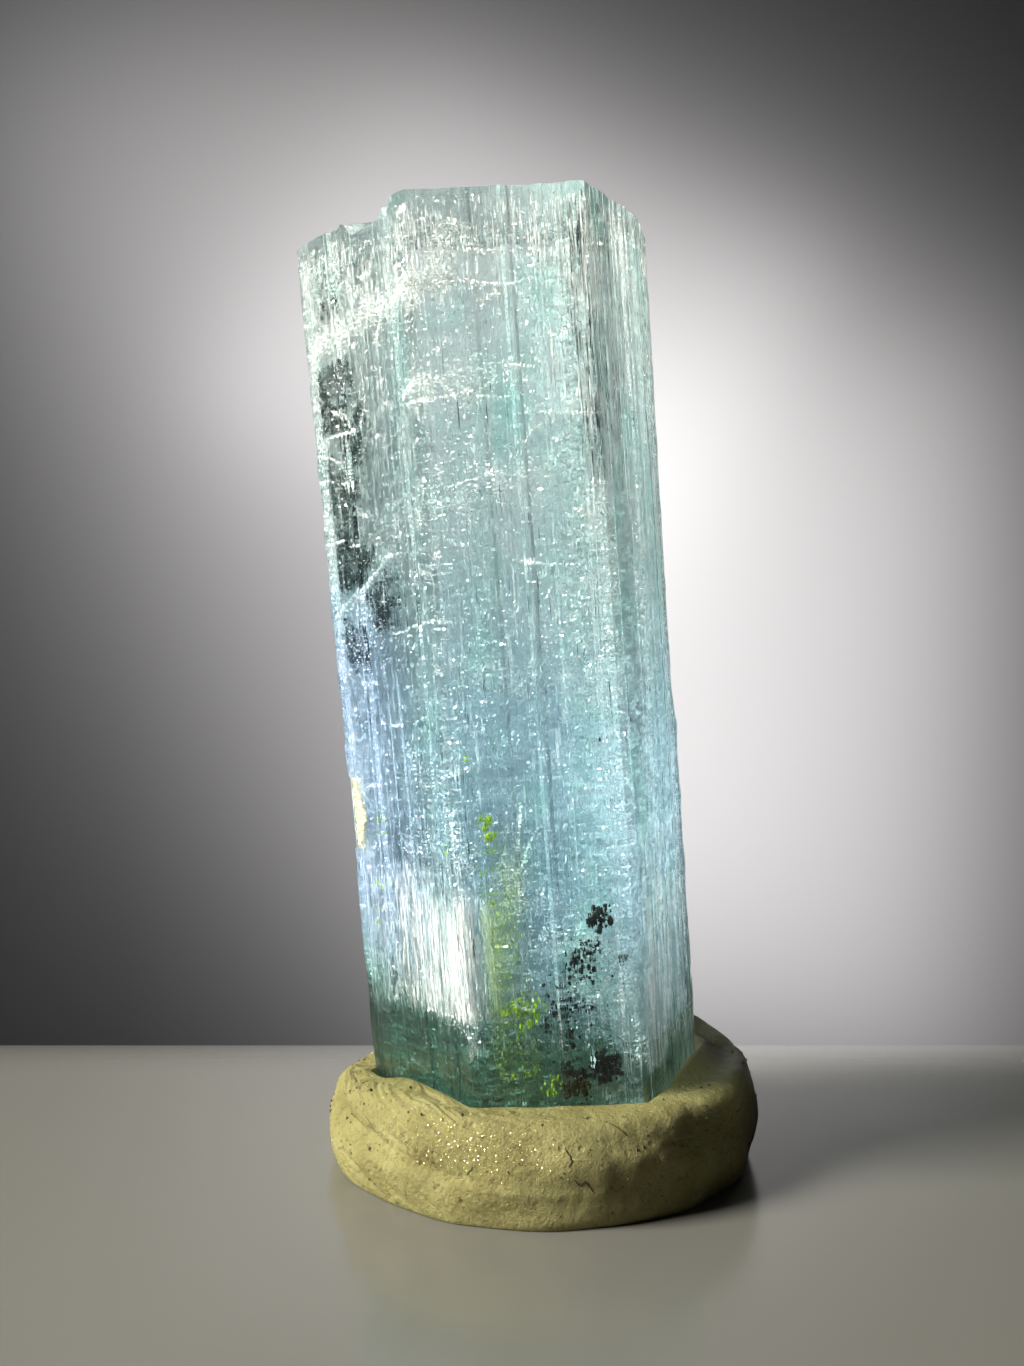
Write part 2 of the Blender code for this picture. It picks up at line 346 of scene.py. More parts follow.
def crystal_points(lines):
    """Every point of the crystal's surface in its own frame, ring by ring from the foot's middle up."""
    rows = []
    top = FOOT_RINGS + SIDE_RINGS
    for line in lines:
        face, place, stria = line
        plain = CORNERS[face] + side_of(face).normalized() * place
        low, high = foot_height(plain), tip_height(plain)
        inward = -(outward(face) if stria else (outward(face) + outward(face - 1)).normalized())
        row = []
        for ring in range(1, top + TOP_RINGS):
            height = low + (high - low) * min(max((ring - FOOT_RINGS) / SIDE_RINGS, 0.0), 1.0)
            relief = surface_depth(line, height) * inward
            point = plain + relief
            if ring < FOOT_RINGS:
                from_centre = 1 - (1 - ring / FOOT_RINGS) ** 1.8
                point = CENTRE.lerp(plain, from_centre) + relief * from_centre**8
                height = foot_height(point)
            elif ring > top:
                from_centre = 1 - ((ring - top) / TOP_RINGS) ** 1.8
                point = CENTRE.lerp(plain, from_centre) + relief * from_centre**8
                height = tip_height(point)
            wider = taper(height)
            row.append((point.x * wider, point.y * wider, height))
        rows.append(row)
    return np.array(rows)


def to_world(points):
    """Points of the crystal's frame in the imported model's frame, in metres."""
    turn = np.array(CRYSTAL_FRAME.to_3x3())
    place = np.array(CRYSTAL_FRAME.translation + PUTTY_CENTRE)
    return (points @ turn.T + place) * MM


def mesh_object(name, points, faces, material, smooth_shaded):
    """A mesh in the scene, from points in metres and lists of point numbers."""
    mesh = bpy.data.meshes.new(name)
    mesh.from_pydata(points, [], faces)
    mesh.polygons.foreach_set("use_smooth", [smooth_shaded] * len(mesh.polygons))
    mesh.materials.append(material)
    made = bpy.data.objects.new(name, mesh)
    bpy.context.scene.collection.objects.link(made)
    return made


def mesh_piece(name, points, faces, material, flat=False):
    """A piece that belongs to the object, from an array of points in metres."""
    made = mesh_object(name, points.tolist(), faces, material, not flat)
    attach(made, "root")
    return made


def grid_faces(lines, points, closed=False):
    """Quads between neighbouring lines of points. closed joins the last points of a line to its first."""
    number = np.arange(lines * points).reshape(lines, points)
    beside, above = np.roll(number, -1, axis=0), np.roll(number, -1, axis=1)
    faces = np.stack([number, beside, np.roll(beside, -1, axis=1), above], axis=-1)
    return (faces if closed else faces[:, :-1]).reshape(-1, 4).tolist()


def crystal_surface(material):
    """The crystal's outside, with its striae, which stands for the CAD solid."""
    rows = crystal_points(stria_lines())
    around, along, _ = rows.shape
    foot = (*CENTRE, foot_height(CENTRE))
    tip = (*CENTRE, tip_height(CENTRE))
    points = np.vstack([rows.reshape(-1, 3), foot, tip])
    faces = grid_faces(around, along)
    for line in range(around):
        beside = (line + 1) % around
        faces.append([len(points) - 2, beside * along, line * along])
        faces.append([len(points) - 1, line * along + along - 1, beside * along + along - 1])
    made = mesh_piece("crystal_surface", to_world(points), faces, material)
    made.data.set_sharp_from_angle(angle=SHARP_ANGLE)
    made.visible_shadow = False  # light has to reach what lies inside
    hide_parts("crystal")


# Nodes of materials


def new_material(name):
    made = bpy.data.materials.new(name)
    made.use_nodes = True
    return made, made.node_tree, made.node_tree.nodes["Principled BSDF"]


def feed(tree, node, inputs):
    """Links a node's inputs to outputs of other nodes, or sets their values."""
    for key, value in inputs.items():
        socket = node.inputs[key]
        if isinstance(value, bpy.types.NodeSocket):
            tree.links.new(value, socket)
        elif socket.type == "RGBA":
            socket.default_value = (*value, 1.0)
        else:
            socket.default_value = value


def add(tree, kind, inputs, **settings):
    """A new node, with its settings and its inputs."""
    node = tree.nodes.new(kind)
    for key, value in settings.items():
        setattr(node, key, value)
    feed(tree, node, inputs)
    return node


def colour_ramp(tree, factor, stops):
    node = add(tree, "ShaderNodeValToRGB", {"Fac": factor})
    elements = node.color_ramp.elements
    while len(elements) < len(stops):
        elements.new(0.5)
    for element, (position, colour) in zip(elements, stops):
        element.position = position
        element.color = (*colour, 1.0)
    return node.outputs["Color"]


def math_node(tree, operation, first, second=0.0, third=0.0):
    return add(tree, "ShaderNodeMath", {0: first, 1: second, 2: third}, operation=operation).outputs[0]


def mix_colour(tree, factor, first, second):
    return add(tree, "ShaderNodeMix", {0: factor, 6: first, 7: second}, data_type="RGBA").outputs[2]


def object_coordinates(tree):
    return add(tree, "ShaderNodeTexCoord", {}).outputs["Object"]


def millimetres(tree):
    """Object coordinates in millimetres."""
    inputs = {0: object_coordinates(tree), "Scale": 1 / MM}
    return add(tree, "ShaderNodeVectorMath", inputs, operation="SCALE").outputs[0]


def crystal_coordinates(tree):
    """Object coordinates turned into the crystal's own frame, in millimetres."""
    to_own = (Matrix.Translation(PUTTY_CENTRE) @ CRYSTAL_FRAME).inverted()
    move = {"Location": to_own.translation, "Rotation": to_own.to_euler("XYZ")}
    inputs = {"Vector": millimetres(tree), **move}
    return add(tree, "ShaderNodeMapping", inputs, vector_type="POINT").outputs[0]


def noise_node(tree, vector, scale, stretch=(1, 1, 1), detail=3.0, roughness=0.5):
    stretched = add(tree, "ShaderNodeMapping", {"Vector": vector, "Scale": stretch}).outputs[0]
    inputs = {"Vector": stretched, "Scale": scale, "Detail": detail, "Roughness": roughness}
    return add(tree, "ShaderNodeTexNoise", inputs).outputs["Fac"]


def pits_node(tree, vector, scale):
    """Distance to the nearest of many scattered points."""
    inputs = {"Vector": vector, "Scale": scale}
    return add(tree, "ShaderNodeTexVoronoi", inputs, feature="F1").outputs["Distance"]


def bump(tree, relief, strength, distance):
    inputs = {"Height": relief, "Strength": strength, "Distance": distance}
    return add(tree, "ShaderNodeBump", inputs).outputs[0]


def clouded_material(name, place, pitch, detail, dark, light, roughness, metallic=0.0):
    """A plain material whose colour drifts between two tints. place makes its coordinates."""
    made, tree, shader = new_material(name)
    clouds = noise_node(tree, place(tree), pitch, detail=detail)
    tint = colour_ramp(tree, clouds, ((0.3, dark), (0.7, light)))
    feed(tree, shader, {"Base Color": tint, "Roughness": roughness, "Metallic": metallic})
    return made


def ramp_value(tree, value, low, high):
    """0 below low and 1 above high."""
    return add(tree, "ShaderNodeMapRange", {"Value": value, "From Min": low, "From Max": high}).outputs[0]


def window(tree, value, rise, fall):
    """1 between the ranges rise and fall, and 0 below the first and above the second."""
    falling = ramp_value(tree, value, fall[1], fall[0])
    return math_node(tree, "MULTIPLY", ramp_value(tree, value, *rise), falling)


def face_place(tree, own, face):
    """How far points lie across a face from its start, and how far under it, as two values."""
    along = side_of(face).normalized()
    normal = outward(face)
    across = add(tree, "ShaderNodeVectorMath", {0: own, 1: (*along, 0.0)}, operation="DOT_PRODUCT")
    out = add(tree, "ShaderNodeVectorMath", {0: own, 1: (*normal, 0.0)}, operation="DOT_PRODUCT")
    place = math_node(tree, "SUBTRACT", across.outputs["Value"], along.dot(CORNERS[face]))
    under = math_node(tree, "SUBTRACT", normal.dot(CORNERS[face]), out.outputs["Value"])
    return place, under


def product(tree, *values):
    result = values[0]
    for value in values[1:]:
        result = math_node(tree, "MULTIPLY", result, value)
    return result


FOOT_SLANT = 0.17  # the dark foot reaches higher at the left
TINT_WAVER = 5.0  # how far the borders between the tints waver, in millimetres
BODY_TINTS = (
    (0.0, (0.12, 0.24, 0.19)),
    (0.16, (0.18, 0.32, 0.31)),
    (0.31, (0.215, 0.375, 0.50)),
    (0.50, (0.325, 0.485, 0.59)),
    (0.68, (0.52, 0.61, 0.625)),
    (1.0, (0.87, 0.86, 0.84)),
)
CLOUD_TINT = (0.26, 0.57, 0.53)
CLOUD_STRENGTH = 0.55
RAGGED = 3.0  # how far the striae tear the ends of the zones, in millimetres
POLISH = 0.02  # roughness of the clear faces
STRIA_FROST = 0.12  # added along the striae
BACK_FROST = 0.3  # added on the faces at the back, which are etched
BACK_BEGINS = (1.0, 4.0)
ETCH_BUMP = 0.00006
CRYSTAL_IOR = 1.575
ABSORPTION_TINT = (0.45, 0.79, 0.82)
ABSORPTION_DENSITY = 34.0

# Tinted zones just under the faces, in the order in which they are laid on: face, depths between which
# a zone fades in, places between which it rises and falls across the face, what bounds its ends, where it
# rises and falls there, the noises that break it up (name, slope across the face, low, high), strength, tint
ZONES = (
    # The blue left edge, and at the lower left a white tint, a painted glare where that face mirrors the
    # light
    (5, (0.8, 0.3), (-2.0, -1.0, 3.5, 6.5), "ragged", (8.0, 11.0, 21.0, 25.0), (), 0.9, (0.40, 0.53, 0.92)),
    (5, (0.8, 0.3), (0.8, 3.8, 98.0, 99.0), "ragged", (7.2, 7.6, 10.5, 14.0),
     (("lines", 0.05, 0.58, 0.72), ("hairs", 0.0, 0.36, 0.50)), 1.0, (0.92, 0.94, 0.95)),
    # The pale frost low on the right front face, and painted shade at its foot next to the putty
    (1, (0.9, 0.3), (0.8, 1.4, 6.0, 6.8), "ragged", (4.4, 5.0, 11.0, 14.5),
     (("lines", 0.0, 0.45, 0.6),), 0.9, (0.85, 0.90, 0.90)),
    (1, (1.4, 0.5), (-99.0, -98.0, 98.0, 99.0), "ragged", (-99.0, -98.0, 4.0, 4.9), (), 0.75,
     (0.05, 0.11, 0.09)),
    # The green smear low on the front face, and the teal patch high on it
    (0, (0.9, 0.3), (0.7, 1.2, 2.0, 2.9), "ragged", (5.0, 6.0, 12.5, 15.5),
     (("clouds", 0.0, 0.36, 0.58),), 0.75, (0.46, 0.60, 0.10)),
    (0, (0.9, 0.3), (1.6, 2.4, 3.4, 4.4), "ragged", (28.0, 29.0, 31.5, 33.0),
     (("clouds", 0.0, 0.30, 0.60),), 0.8, (0.26, 0.62, 0.58)),
    # The cream scar on the left edge
    (5, (1.2, 0.6), (-1.0, -0.6, 1.2, 1.8), "height", (13.0, 13.4, 15.9, 16.3), (), 1.0, (1.0, 0.97, 0.86)),
)


def body_tint(tree, own, axes, clouds):
    """The tint that changes along the crystal, with teal clouds."""
    slanted = math_node(tree, "MULTIPLY_ADD", axes["X"], FOOT_SLANT, axes["Z"])
    waver = noise_node(tree, own, 0.22, detail=4.0)
    middle = math_node(tree, "ADD", slanted, -TINT_WAVER / 2)
    level = math_node(tree, "MULTIPLY_ADD", waver, TINT_WAVER, middle)
    body = colour_ramp(tree, math_node(tree, "DIVIDE", level, CRYSTAL_LENGTH), BODY_TINTS)
    cloudy = math_node(tree, "MULTIPLY", ramp_value(tree, clouds, 0.5, 0.66), CLOUD_STRENGTH)
    return mix_colour(tree, cloudy, body, CLOUD_TINT)


def zone_mask(tree, own, measures, zone):
    """How strongly a zone tints each point, from 0 to 1."""
    face, depths, across, level, ends, broken_by, strength = zone
    place, under = face_place(tree, own, face)
    factors = [
        ramp_value(tree, under, *depths),
        window(tree, place, across[:2], across[2:]),
        window(tree, measures[level], ends[:2], ends[2:]),
    ]
    for name, slope, low, high in broken_by:
        sloping = math_node(tree, "MULTIPLY_ADD", place, slope, measures[name])
        factors.append(ramp_value(tree, sloping, low, high))
    return product(tree, strength, *factors)


def etched_finish(tree, own, backwards, lines):
    """The roughness, with frost along the striae and at the back, and the fine relief."""
    frost = math_node(tree, "MULTIPLY_ADD", ramp_value(tree, lines, 0.45, 0.8), STRIA_FROST, POLISH)
    behind = math_node(tree, "MULTIPLY", ramp_value(tree, backwards, *BACK_BEGINS), BACK_FROST)
    fine = noise_node(tree, own, 5.0, stretch=(2.5, 2.5, 0.1), detail=2.0)
    relief = math_node(tree, "MULTIPLY_ADD", pits_node(tree, own, 2.6), 0.4, fine)
    return {
        "Roughness": math_node(tree, "ADD", frost, behind),
        "Normal": bump(tree, relief, 0.4, ETCH_BUMP),
    }


def aquamarine():
    """Clear beryl, pale at the tip and blue to teal below, with frosted striae."""
    made, tree, shader = new_material("aquamarine")
    own = crystal_coordinates(tree)
    axes = add(tree, "ShaderNodeSeparateXYZ", {0: own}).outputs
    lines = noise_node(tree, own, 3.0, stretch=(2.2, 2.2, 0.12), detail=3.0)
    torn = math_node(tree, "MULTIPLY_ADD", lines, RAGGED, -RAGGED / 2)
    measures = {
        "height": axes["Z"],
        "ragged": math_node(tree, "ADD", torn, axes["Z"]),
        "lines": lines,
        "hairs": noise_node(tree, own, 3.0, stretch=(4.5, 4.5, 0.10), detail=2.0),
        "clouds": noise_node(tree, own, 0.5, stretch=(1, 1, 0.6), detail=5.0),
    }
    tint = body_tint(tree, own, axes, measures["clouds"])
    for *zone, colour in ZONES:
        tint = mix_colour(tree, zone_mask(tree, own, measures, zone), tint, colour)
    feed(tree, shader, etched_finish(tree, own, axes["Y"], lines))
    feed(tree, shader, {"Base Color": tint, "Transmission Weight": 1.0, "IOR": CRYSTAL_IOR})
    inputs = {"Color": ABSORPTION_TINT, "Density": ABSORPTION_DENSITY}
    absorption = add(tree, "ShaderNodeVolumeAbsorption", inputs).outputs[0]
    feed(tree, tree.nodes["Material Output"], {"Volume": absorption})
    return made


# Inclusions

# How far inclusions keep from the faces, in millimetres
PLATE_MARGIN = 0.3
PATCH_MARGIN = 0.32
NEEDLE_MARGIN = 0.33
GRAIN_MARGIN = 0.34


def inside_share(points):
    """Distance of each point under the nearest prism face, in millimetres, negative outside."""
    nearest = np.full(len(points), np.inf)
    wider = taper(points[:, 2])
    for face in range(6):
        normal = outward(face)
        reach = normal.dot(CORNERS[face]) * wider
        nearest = np.minimum(nearest, reach - points[:, 0] * normal.x - points[:, 1] * normal.y)
    top = np.full(len(points), CRYSTAL_LENGTH - TIP_HILLOCKS + 0.25)
    for centre, size, depth in (TIP_NOTCH, TIP_CHIP):
        away = np.hypot(points[:, 0] - centre.x, points[:, 1] - centre.y)
        top -= depth * (1 - ramp(DENT_FLOOR * size, size, away))
    ends = np.minimum(points[:, 2] - 0.8, top - points[:, 2])
    return np.minimum(nearest, ends)


def under_surface(around, height, depth):
    """Points at a depth under the faces, from places round the crystal and heights. Arrays are allowed."""
    around, height, depth = np.broadcast_arrays(np.asarray(around, float) % GIRTH, height, depth)
    face = np.searchsorted(STARTS, around, side="right") - 1
    corners = np.array(CORNERS)[face]
    along = np.array([side_of(one).normalized() for one in range(6)])[face]
    normal = np.array([outward(one) for one in range(6)])[face]
    across = (around - np.array(STARTS)[face])[..., None]
    place = (corners + along * across) * taper(height)[..., None] - normal * depth[..., None]
    return np.concatenate([place, height[..., None]], axis=-1)


def milky(points):
    """Chance of milky inclusions: none in the dark foot, which ends on a slant."""
    return ramp(5.7, 7.0, points[:, 2] + FOOT_SLANT * points[:, 0])


def unit(vectors):
    return vectors / np.maximum(np.linalg.norm(vectors, axis=-1, keepdims=True), 1e-9)


# The way that most cleavage plates face, so that they mirror the light that falls in from the left
CLEAVAGE = np.array((-0.45, -0.80, 0.40))


def spread_over(draw, value, count):
    """One value for each of count things: as given, or drawn from a range."""
    return draw.uniform(*value, count) if isinstance(value, tuple) else np.broadcast_to(value, count)


def flakes(draw, centres, sizes, stretch, upright=0.0, sides=5, facing=0.0):
    """Small irregular plates. sizes and stretch may be ranges.

    upright draws their long way to the crystal's axis, and facing turns them to its cleavage.
    """
    count = len(centres)
    sizes, stretch = spread_over(draw, sizes, count), spread_over(draw, stretch, count)
    long_way = draw.normal(size=(count, 3))
    long_way[:, 2] += upright * np.sign(draw.normal(size=count)) * 3
    normal = unit(draw.normal(size=(count, 3)) + facing * CLEAVAGE)
    cross_way = unit(np.cross(normal, long_way))
    long_way = np.cross(cross_way, normal)
    angles = (np.arange(sides) / sides + draw.uniform(-0.07, 0.07, (count, sides))) * math.tau
    reach = sizes[:, None] * draw.uniform(0.55, 1.1, (count, sides))
    along = (np.cos(angles) * reach * stretch[:, None])[..., None] * long_way[:, None, :]
    across = (np.sin(angles) * reach)[..., None] * cross_way[:, None, :]
    points = (centres[:, None, :] + along + across).reshape(-1, 3)
    faces = np.arange(count * sides).reshape(-1, sides).tolist()
    return points, faces


def needles(draw, centres, lengths, widths, lean=0.01):
    """Three-sided needles along the crystal's axis, pointed at both ends."""
    count = len(centres)
    leaning = [draw.normal(size=count) * lean for _ in "xy"]
    axis = unit(np.stack([*leaning, np.ones(count)], -1))
    turn = draw.uniform(0, math.tau, count)
    ends = [centres - axis * lengths[:, None] / 2, centres + axis * lengths[:, None] / 2]
    inside = np.minimum(inside_share(ends[0]), inside_share(ends[1])) > PLATE_MARGIN
    rim = []
    for corner in range(3):
        heading = turn + corner * math.tau / 3
        side = np.stack([np.cos(heading), np.sin(heading), np.zeros(count)], -1)
        rim.append(centres + side * widths[:, None] / 2)
    points = np.stack([*ends, *rim], axis=1)[inside].reshape(-1, 3)
    faces = []
    for first in range(0, len(points), 5):
        for a, b in ((2, 3), (3, 4), (4, 2)):
            faces.append([first, first + b, first + a])
            faces.append([first + 1, first + a, first + b])
    return points, faces


def join(*parts):
    """One list of points and faces from several."""
    points, faces, offset = [], [], 0
    for some_points, some_faces in parts:
        points.append(some_points)
        faces.extend([[index + offset for index in face] for face in some_faces])
        offset += len(some_points)
    return np.vstack(points), faces


CRYSTAL_REACH = ((-8.0, -7.0, 0.8), (7.5, 7.0, CRYSTAL_LENGTH))


def points_in_crystal(draw, count, margin):
    """Evenly spread points at least margin under the surface."""
    found = []
    total = 0
    while total < count:
        tries = draw.uniform(*CRYSTAL_REACH, (count * 2, 3))
        tries = tries[inside_share(tries) > margin]
        found.append(tries)
        total += len(tries)
    return np.vstack(found)[:count]


def inclusion_material(name, colour, roughness, metallic=0.0, spread=0.25):
    """A plain inclusion whose lightness varies from place to place."""
    dark = tuple(channel * (1 - spread) for channel in colour)
    light = tuple(min(channel * (1 + spread), 1.0) for channel in colour)
    return clouded_material(name, crystal_coordinates, 1.4, 4.0, dark, light, roughness, metallic)


def inclusion(name, shapes, colour, roughness, mineral=None, **look):
    """A piece inside the crystal. shapes are its points, in the crystal's frame, and its faces."""
    points, faces = shapes
    material = inclusion_material(mineral or name, colour, roughness, **look)
    mesh_piece(name, to_world(points), faces, material, flat=True)


def noise_at(points, pitch):
    """Noise between -1 and 1 at each point. pitch is how fast it varies along each axis."""
    return np.array([noise.noise(Vector(point)) for point in points * pitch])


HAZE_TRIES = 90000
HAZE_MARGIN = 0.25
HAZE_SHARES = (0.08, 0.64, 0.34)  # everywhere, more above the dark foot, less towards the tip
HAZE_THINS = (20.0, 34.0)  # the heights between which it thins
HAZE_PATCHES = (0.42, 0.95)  # least share, and what the patches add
HAZE_PATCH_EDGE = 0.35
HAZE_PITCH = (0.42, 0.42, 0.30)
HAZE_SIZE = 0.016
HAZE_LARGEST = 0.08


def body_haze(draw):
    """Fine healed cracks all through the crystal, in patches, that make it milky."""
    centres = points_in_crystal(draw, HAZE_TRIES, HAZE_MARGIN)
    everywhere, above, thinner = HAZE_SHARES
    wanted = (everywhere + above * milky(centres)) - thinner * ramp(*HAZE_THINS, centres[:, 2])
    least, more = HAZE_PATCHES
    wanted *= least + more * ramp(-HAZE_PATCH_EDGE, HAZE_PATCH_EDGE, noise_at(centres, HAZE_PITCH))
    centres = centres[draw.random(len(centres)) < wanted]
    sizes = HAZE_SIZE + draw.exponential(HAZE_SIZE, len(centres))
    shapes = flakes(draw, centres, np.minimum(sizes, HAZE_LARGEST), (1.0, 4.0), upright=1.2, sides=4)
    inclusion("healed_cracks", shapes, (0.66, 0.78, 0.80), 0.5)


FOOT_CLOUD_TRIES = 60000
FOOT_CLOUD_MARGIN = 1.3
FOOT_CLOUD_EDGE = 0.6
FOOT_CLOUD_SIZES = (0.05, 0.12)
MILKY_CLOUD_TRIES = 36000
MILKY_CLOUD_PLACES = (7.0, 20.5)
MILKY_CLOUD_LOW = (5.0, 14.0)
MILKY_CLOUD_HIGH = (14.0, 36.6)
MILKY_CLOUD_LOW_SHARE = 0.62
MILKY_CLOUD_DEPTH = 1.1
MILKY_CLOUD_SIZES = (0.055, 0.12)


def foot_cloud(draw):
    """Dark green plates deep in the foot."""
    centres = points_in_crystal(draw, FOOT_CLOUD_TRIES, FOOT_CLOUD_MARGIN)
    centres = centres[milky(centres) < draw.random(len(centres)) * FOOT_CLOUD_EDGE]
    shapes = flakes(draw, centres, FOOT_CLOUD_SIZES, (1.0, 2.0), upright=0.5, sides=4)
    inclusion("foot_cloud", shapes, (0.11, 0.21, 0.155), 0.5, spread=0.4)


def milky_cloud(draw):
    """Milky plates deep in the right side, that dim what shines through."""
    count = MILKY_CLOUD_TRIES
    is_low = draw.random(count) < MILKY_CLOUD_LOW_SHARE
    low, high = draw.uniform(*MILKY_CLOUD_LOW, count), draw.uniform(*MILKY_CLOUD_HIGH, count)
    height = np.where(is_low, low, high)
    around = draw.uniform(*MILKY_CLOUD_PLACES, count)
    centres = under_surface(around, height, MILKY_CLOUD_DEPTH + draw.exponential(0.5, count))
    centres = centres[(inside_share(centres) > 0.8) & (draw.random(count) < milky(centres))]
    shapes = flakes(draw, centres, MILKY_CLOUD_SIZES, (1.0, 2.0), upright=0.8, sides=4)
    inclusion("milky_cloud", shapes, (0.70, 0.82, 0.82), 0.5, spread=0.2)


DRIFT_PITCH = (0.7, 0.7, 0.35)
CLUMP_PITCH = (2.0, 2.0, 1.6)
CROWDING = (0.16, 1.2, 2.0, 0.45)  # everywhere, in drifts, in clumps, along the two front corners
CORNER_REACH = 1.6
CORNER_THINS = (20.0, 30.0)


def crowding(points):
    """How thick the bright inclusions lie: in drifts and clumps, and along the two front corners."""
    drifts = np.clip(noise_at(points, DRIFT_PITCH), 0, 1)
    clumps = np.clip(noise_at(points, CLUMP_PITCH), 0, 1)
    corners = 0.0
    for corner in (0, 1):
        away = np.hypot(points[:, 0] - CORNERS[corner].x, points[:, 1] - CORNERS[corner].y)
        corners = corners + np.exp(-((away / CORNER_REACH) ** 2))
    corners = corners * (1 - ramp(*CORNER_THINS, points[:, 2]))
    everywhere, in_drifts, in_clumps, in_corners = CROWDING
    return everywhere + in_drifts * drifts + in_clumps * clumps + in_corners * corners


def off_the_grains(around, height):
    """False in front of the dark mineral grains, which nothing veils."""
    clear = np.ones(len(around), bool)
    for place, level, _, radius, *_ in DARK_CLUSTERS:
        clear &= np.hypot(around - place, height - level) > 0.75 * radius
    return clear


STREAKS = 15000
STREAK_LENGTHS = (0.10, 0.32, 3.0)  # shortest, mean of what is added, longest
STREAK_WIDTHS = (0.010, 0.032)


def pale_streaks(draw):
    """Upright hair-thin plates close under the faces, that draw the grain of the crystal."""
    count = STREAKS
    around = draw.uniform(0, GIRTH, count)
    shortest, more, longest = STREAK_LENGTHS
    lengths = np.minimum(shortest + draw.exponential(more, count), longest)
    height = np.minimum(draw.uniform(3.0, CRYSTAL_LENGTH, count), CRYSTAL_LENGTH - 0.25 - lengths / 2)
    centres = under_surface(around, height, 0.36 + draw.exponential(0.3, count))
    keep = draw.random(count) < milky(centres) * (0.2 + crowding(centres))
    keep &= (inside_share(centres) > NEEDLE_MARGIN) & off_the_grains(around, height)
    widths = draw.uniform(*STREAK_WIDTHS, count)
    shapes = needles(draw, centres[keep], lengths[keep], widths[keep])
    inclusion("pale_streaks", shapes, (0.75, 0.86, 0.86), 0.4, spread=0.35)


PLATES = 85000
PLATES_FACING = 1.6
PLATE_SIZE = 0.0145
PLATE_LARGEST = 0.06


def cleavage_plates(draw):
    """Bright little cleavage plates close under the faces: many tiny ones and a few large ones."""
    around = draw.uniform(0, GIRTH, PLATES)
    height = draw.uniform(3.0, CRYSTAL_LENGTH, PLATES)
    centres = under_surface(around, height, 0.33 + draw.exponential(0.3, PLATES))
    keep = draw.random(PLATES) < milky(centres) * crowding(centres)
    keep &= (inside_share(centres) > PLATE_MARGIN) & off_the_grains(around, height)
    centres = centres[keep]
    sizes = np.minimum(PLATE_SIZE / np.sqrt(draw.uniform(0.004, 1.0, len(centres))), PLATE_LARGEST)
    shapes = flakes(draw, centres, sizes, (1.0, 2.2), upright=0.5, sides=4, facing=PLATES_FACING)
    inclusion("cleavage_plates", shapes, (0.97, 0.99, 0.98), 0.36, metallic=0.5, spread=0.02)


WAVER, WAVER_PITCH = 0.10, 2.2
RIPPLE, RIPPLE_PITCH = 0.04, 9.0
STREWN_SIZES = (0.011, 0.014)  # smallest, mean of what is added


def strewn_band(draw, path, breadth, density, depth, largest):
    """Tiny plates strewn along a path of (place round the crystal, height) that wavers."""
    parts = []
    for (start, low), (end, high) in zip(path, path[1:]):
        length = math.hypot(end - start, high - low)
        count = max(int(density * length), 6)
        share = draw.uniform(0, 1, count)
        waver = WAVER * np.sin(share * length * WAVER_PITCH + start * 5)
        waver += RIPPLE * np.sin(share * length * RIPPLE_PITCH + low)
        sideways = waver * min(0.4 + breadth, 1.5) + draw.normal(size=count) * breadth * 0.4
        around = start + (end - start) * share - (high - low) / length * sideways
        height = low + (high - low) * share + (end - start) / length * sideways
        centres = under_surface(around, height, depth + draw.exponential(0.12, count))
        centres = centres[inside_share(centres) > PLATE_MARGIN]
        smallest, more = STREWN_SIZES
        sizes = np.minimum(smallest + draw.exponential(more, len(centres)), largest)
        parts.append(flakes(draw, centres, sizes, (1.0, 2.5), upright=0.3, facing=PLATES_FACING))
    return join(*parts)


# Healed fractures: breadth, plates for each millimetre, depth, then points (place round it, height)
VEILS = (
    (
        *(0.8, 470, 0.45),
        ((-7.8, 33.2), (-5.6, 33.4), (-3.8, 33.6), (-1.2, 33.8), (0.6, 34.2), (1.4, 34.7), (2.0, 36.2)),
    ),
    (0.5, 500, 0.4, ((0.7, 34.0), (1.8, 34.5))),
    (0.7, 260, 0.4, ((-7.9, 32.9), (-6.3, 33.1))),
    (1.3, 180, 0.5, ((-7.6, 35.6), (-5.8, 36.0), (-4.0, 35.4))),
    (1.0, 200, 0.8, ((-1.2, 30.3), (0.8, 30.9), (3.0, 30.8))),
    (0.8, 130, 0.8, ((0.5, 26.4), (3.0, 27.0), (6.3, 28.1))),
    (1.0, 110, 0.9, ((-5.0, 24.9), (-2.0, 26.5), (0.3, 27.4))),
    (1.1, 130, 1.0, ((0.8, 20.7), (4.0, 19.8), (7.1, 18.9))),
    (1.2, 110, 0.9, ((8.2, 23.9), (13.0, 21.0))),
    (1.2, 190, 0.5, ((1.5, 13.2), (4.0, 11.3), (7.1, 9.5))),
    (0.9, 260, 0.5, ((3.0, 10.6), (5.0, 9.6), (6.4, 8.5))),
    (1.0, 200, 0.5, ((3.8, 8.8), (6.0, 7.6))),
    (1.4, 80, 1.2, ((14.0, 14.0), (20.3, 20.0))),
    (1.4, 80, 1.2, ((21.3, 27.0), (27.6, 22.0))),
    (1.4, 80, 1.2, ((28.6, 12.0), (34.0, 17.0))),
)
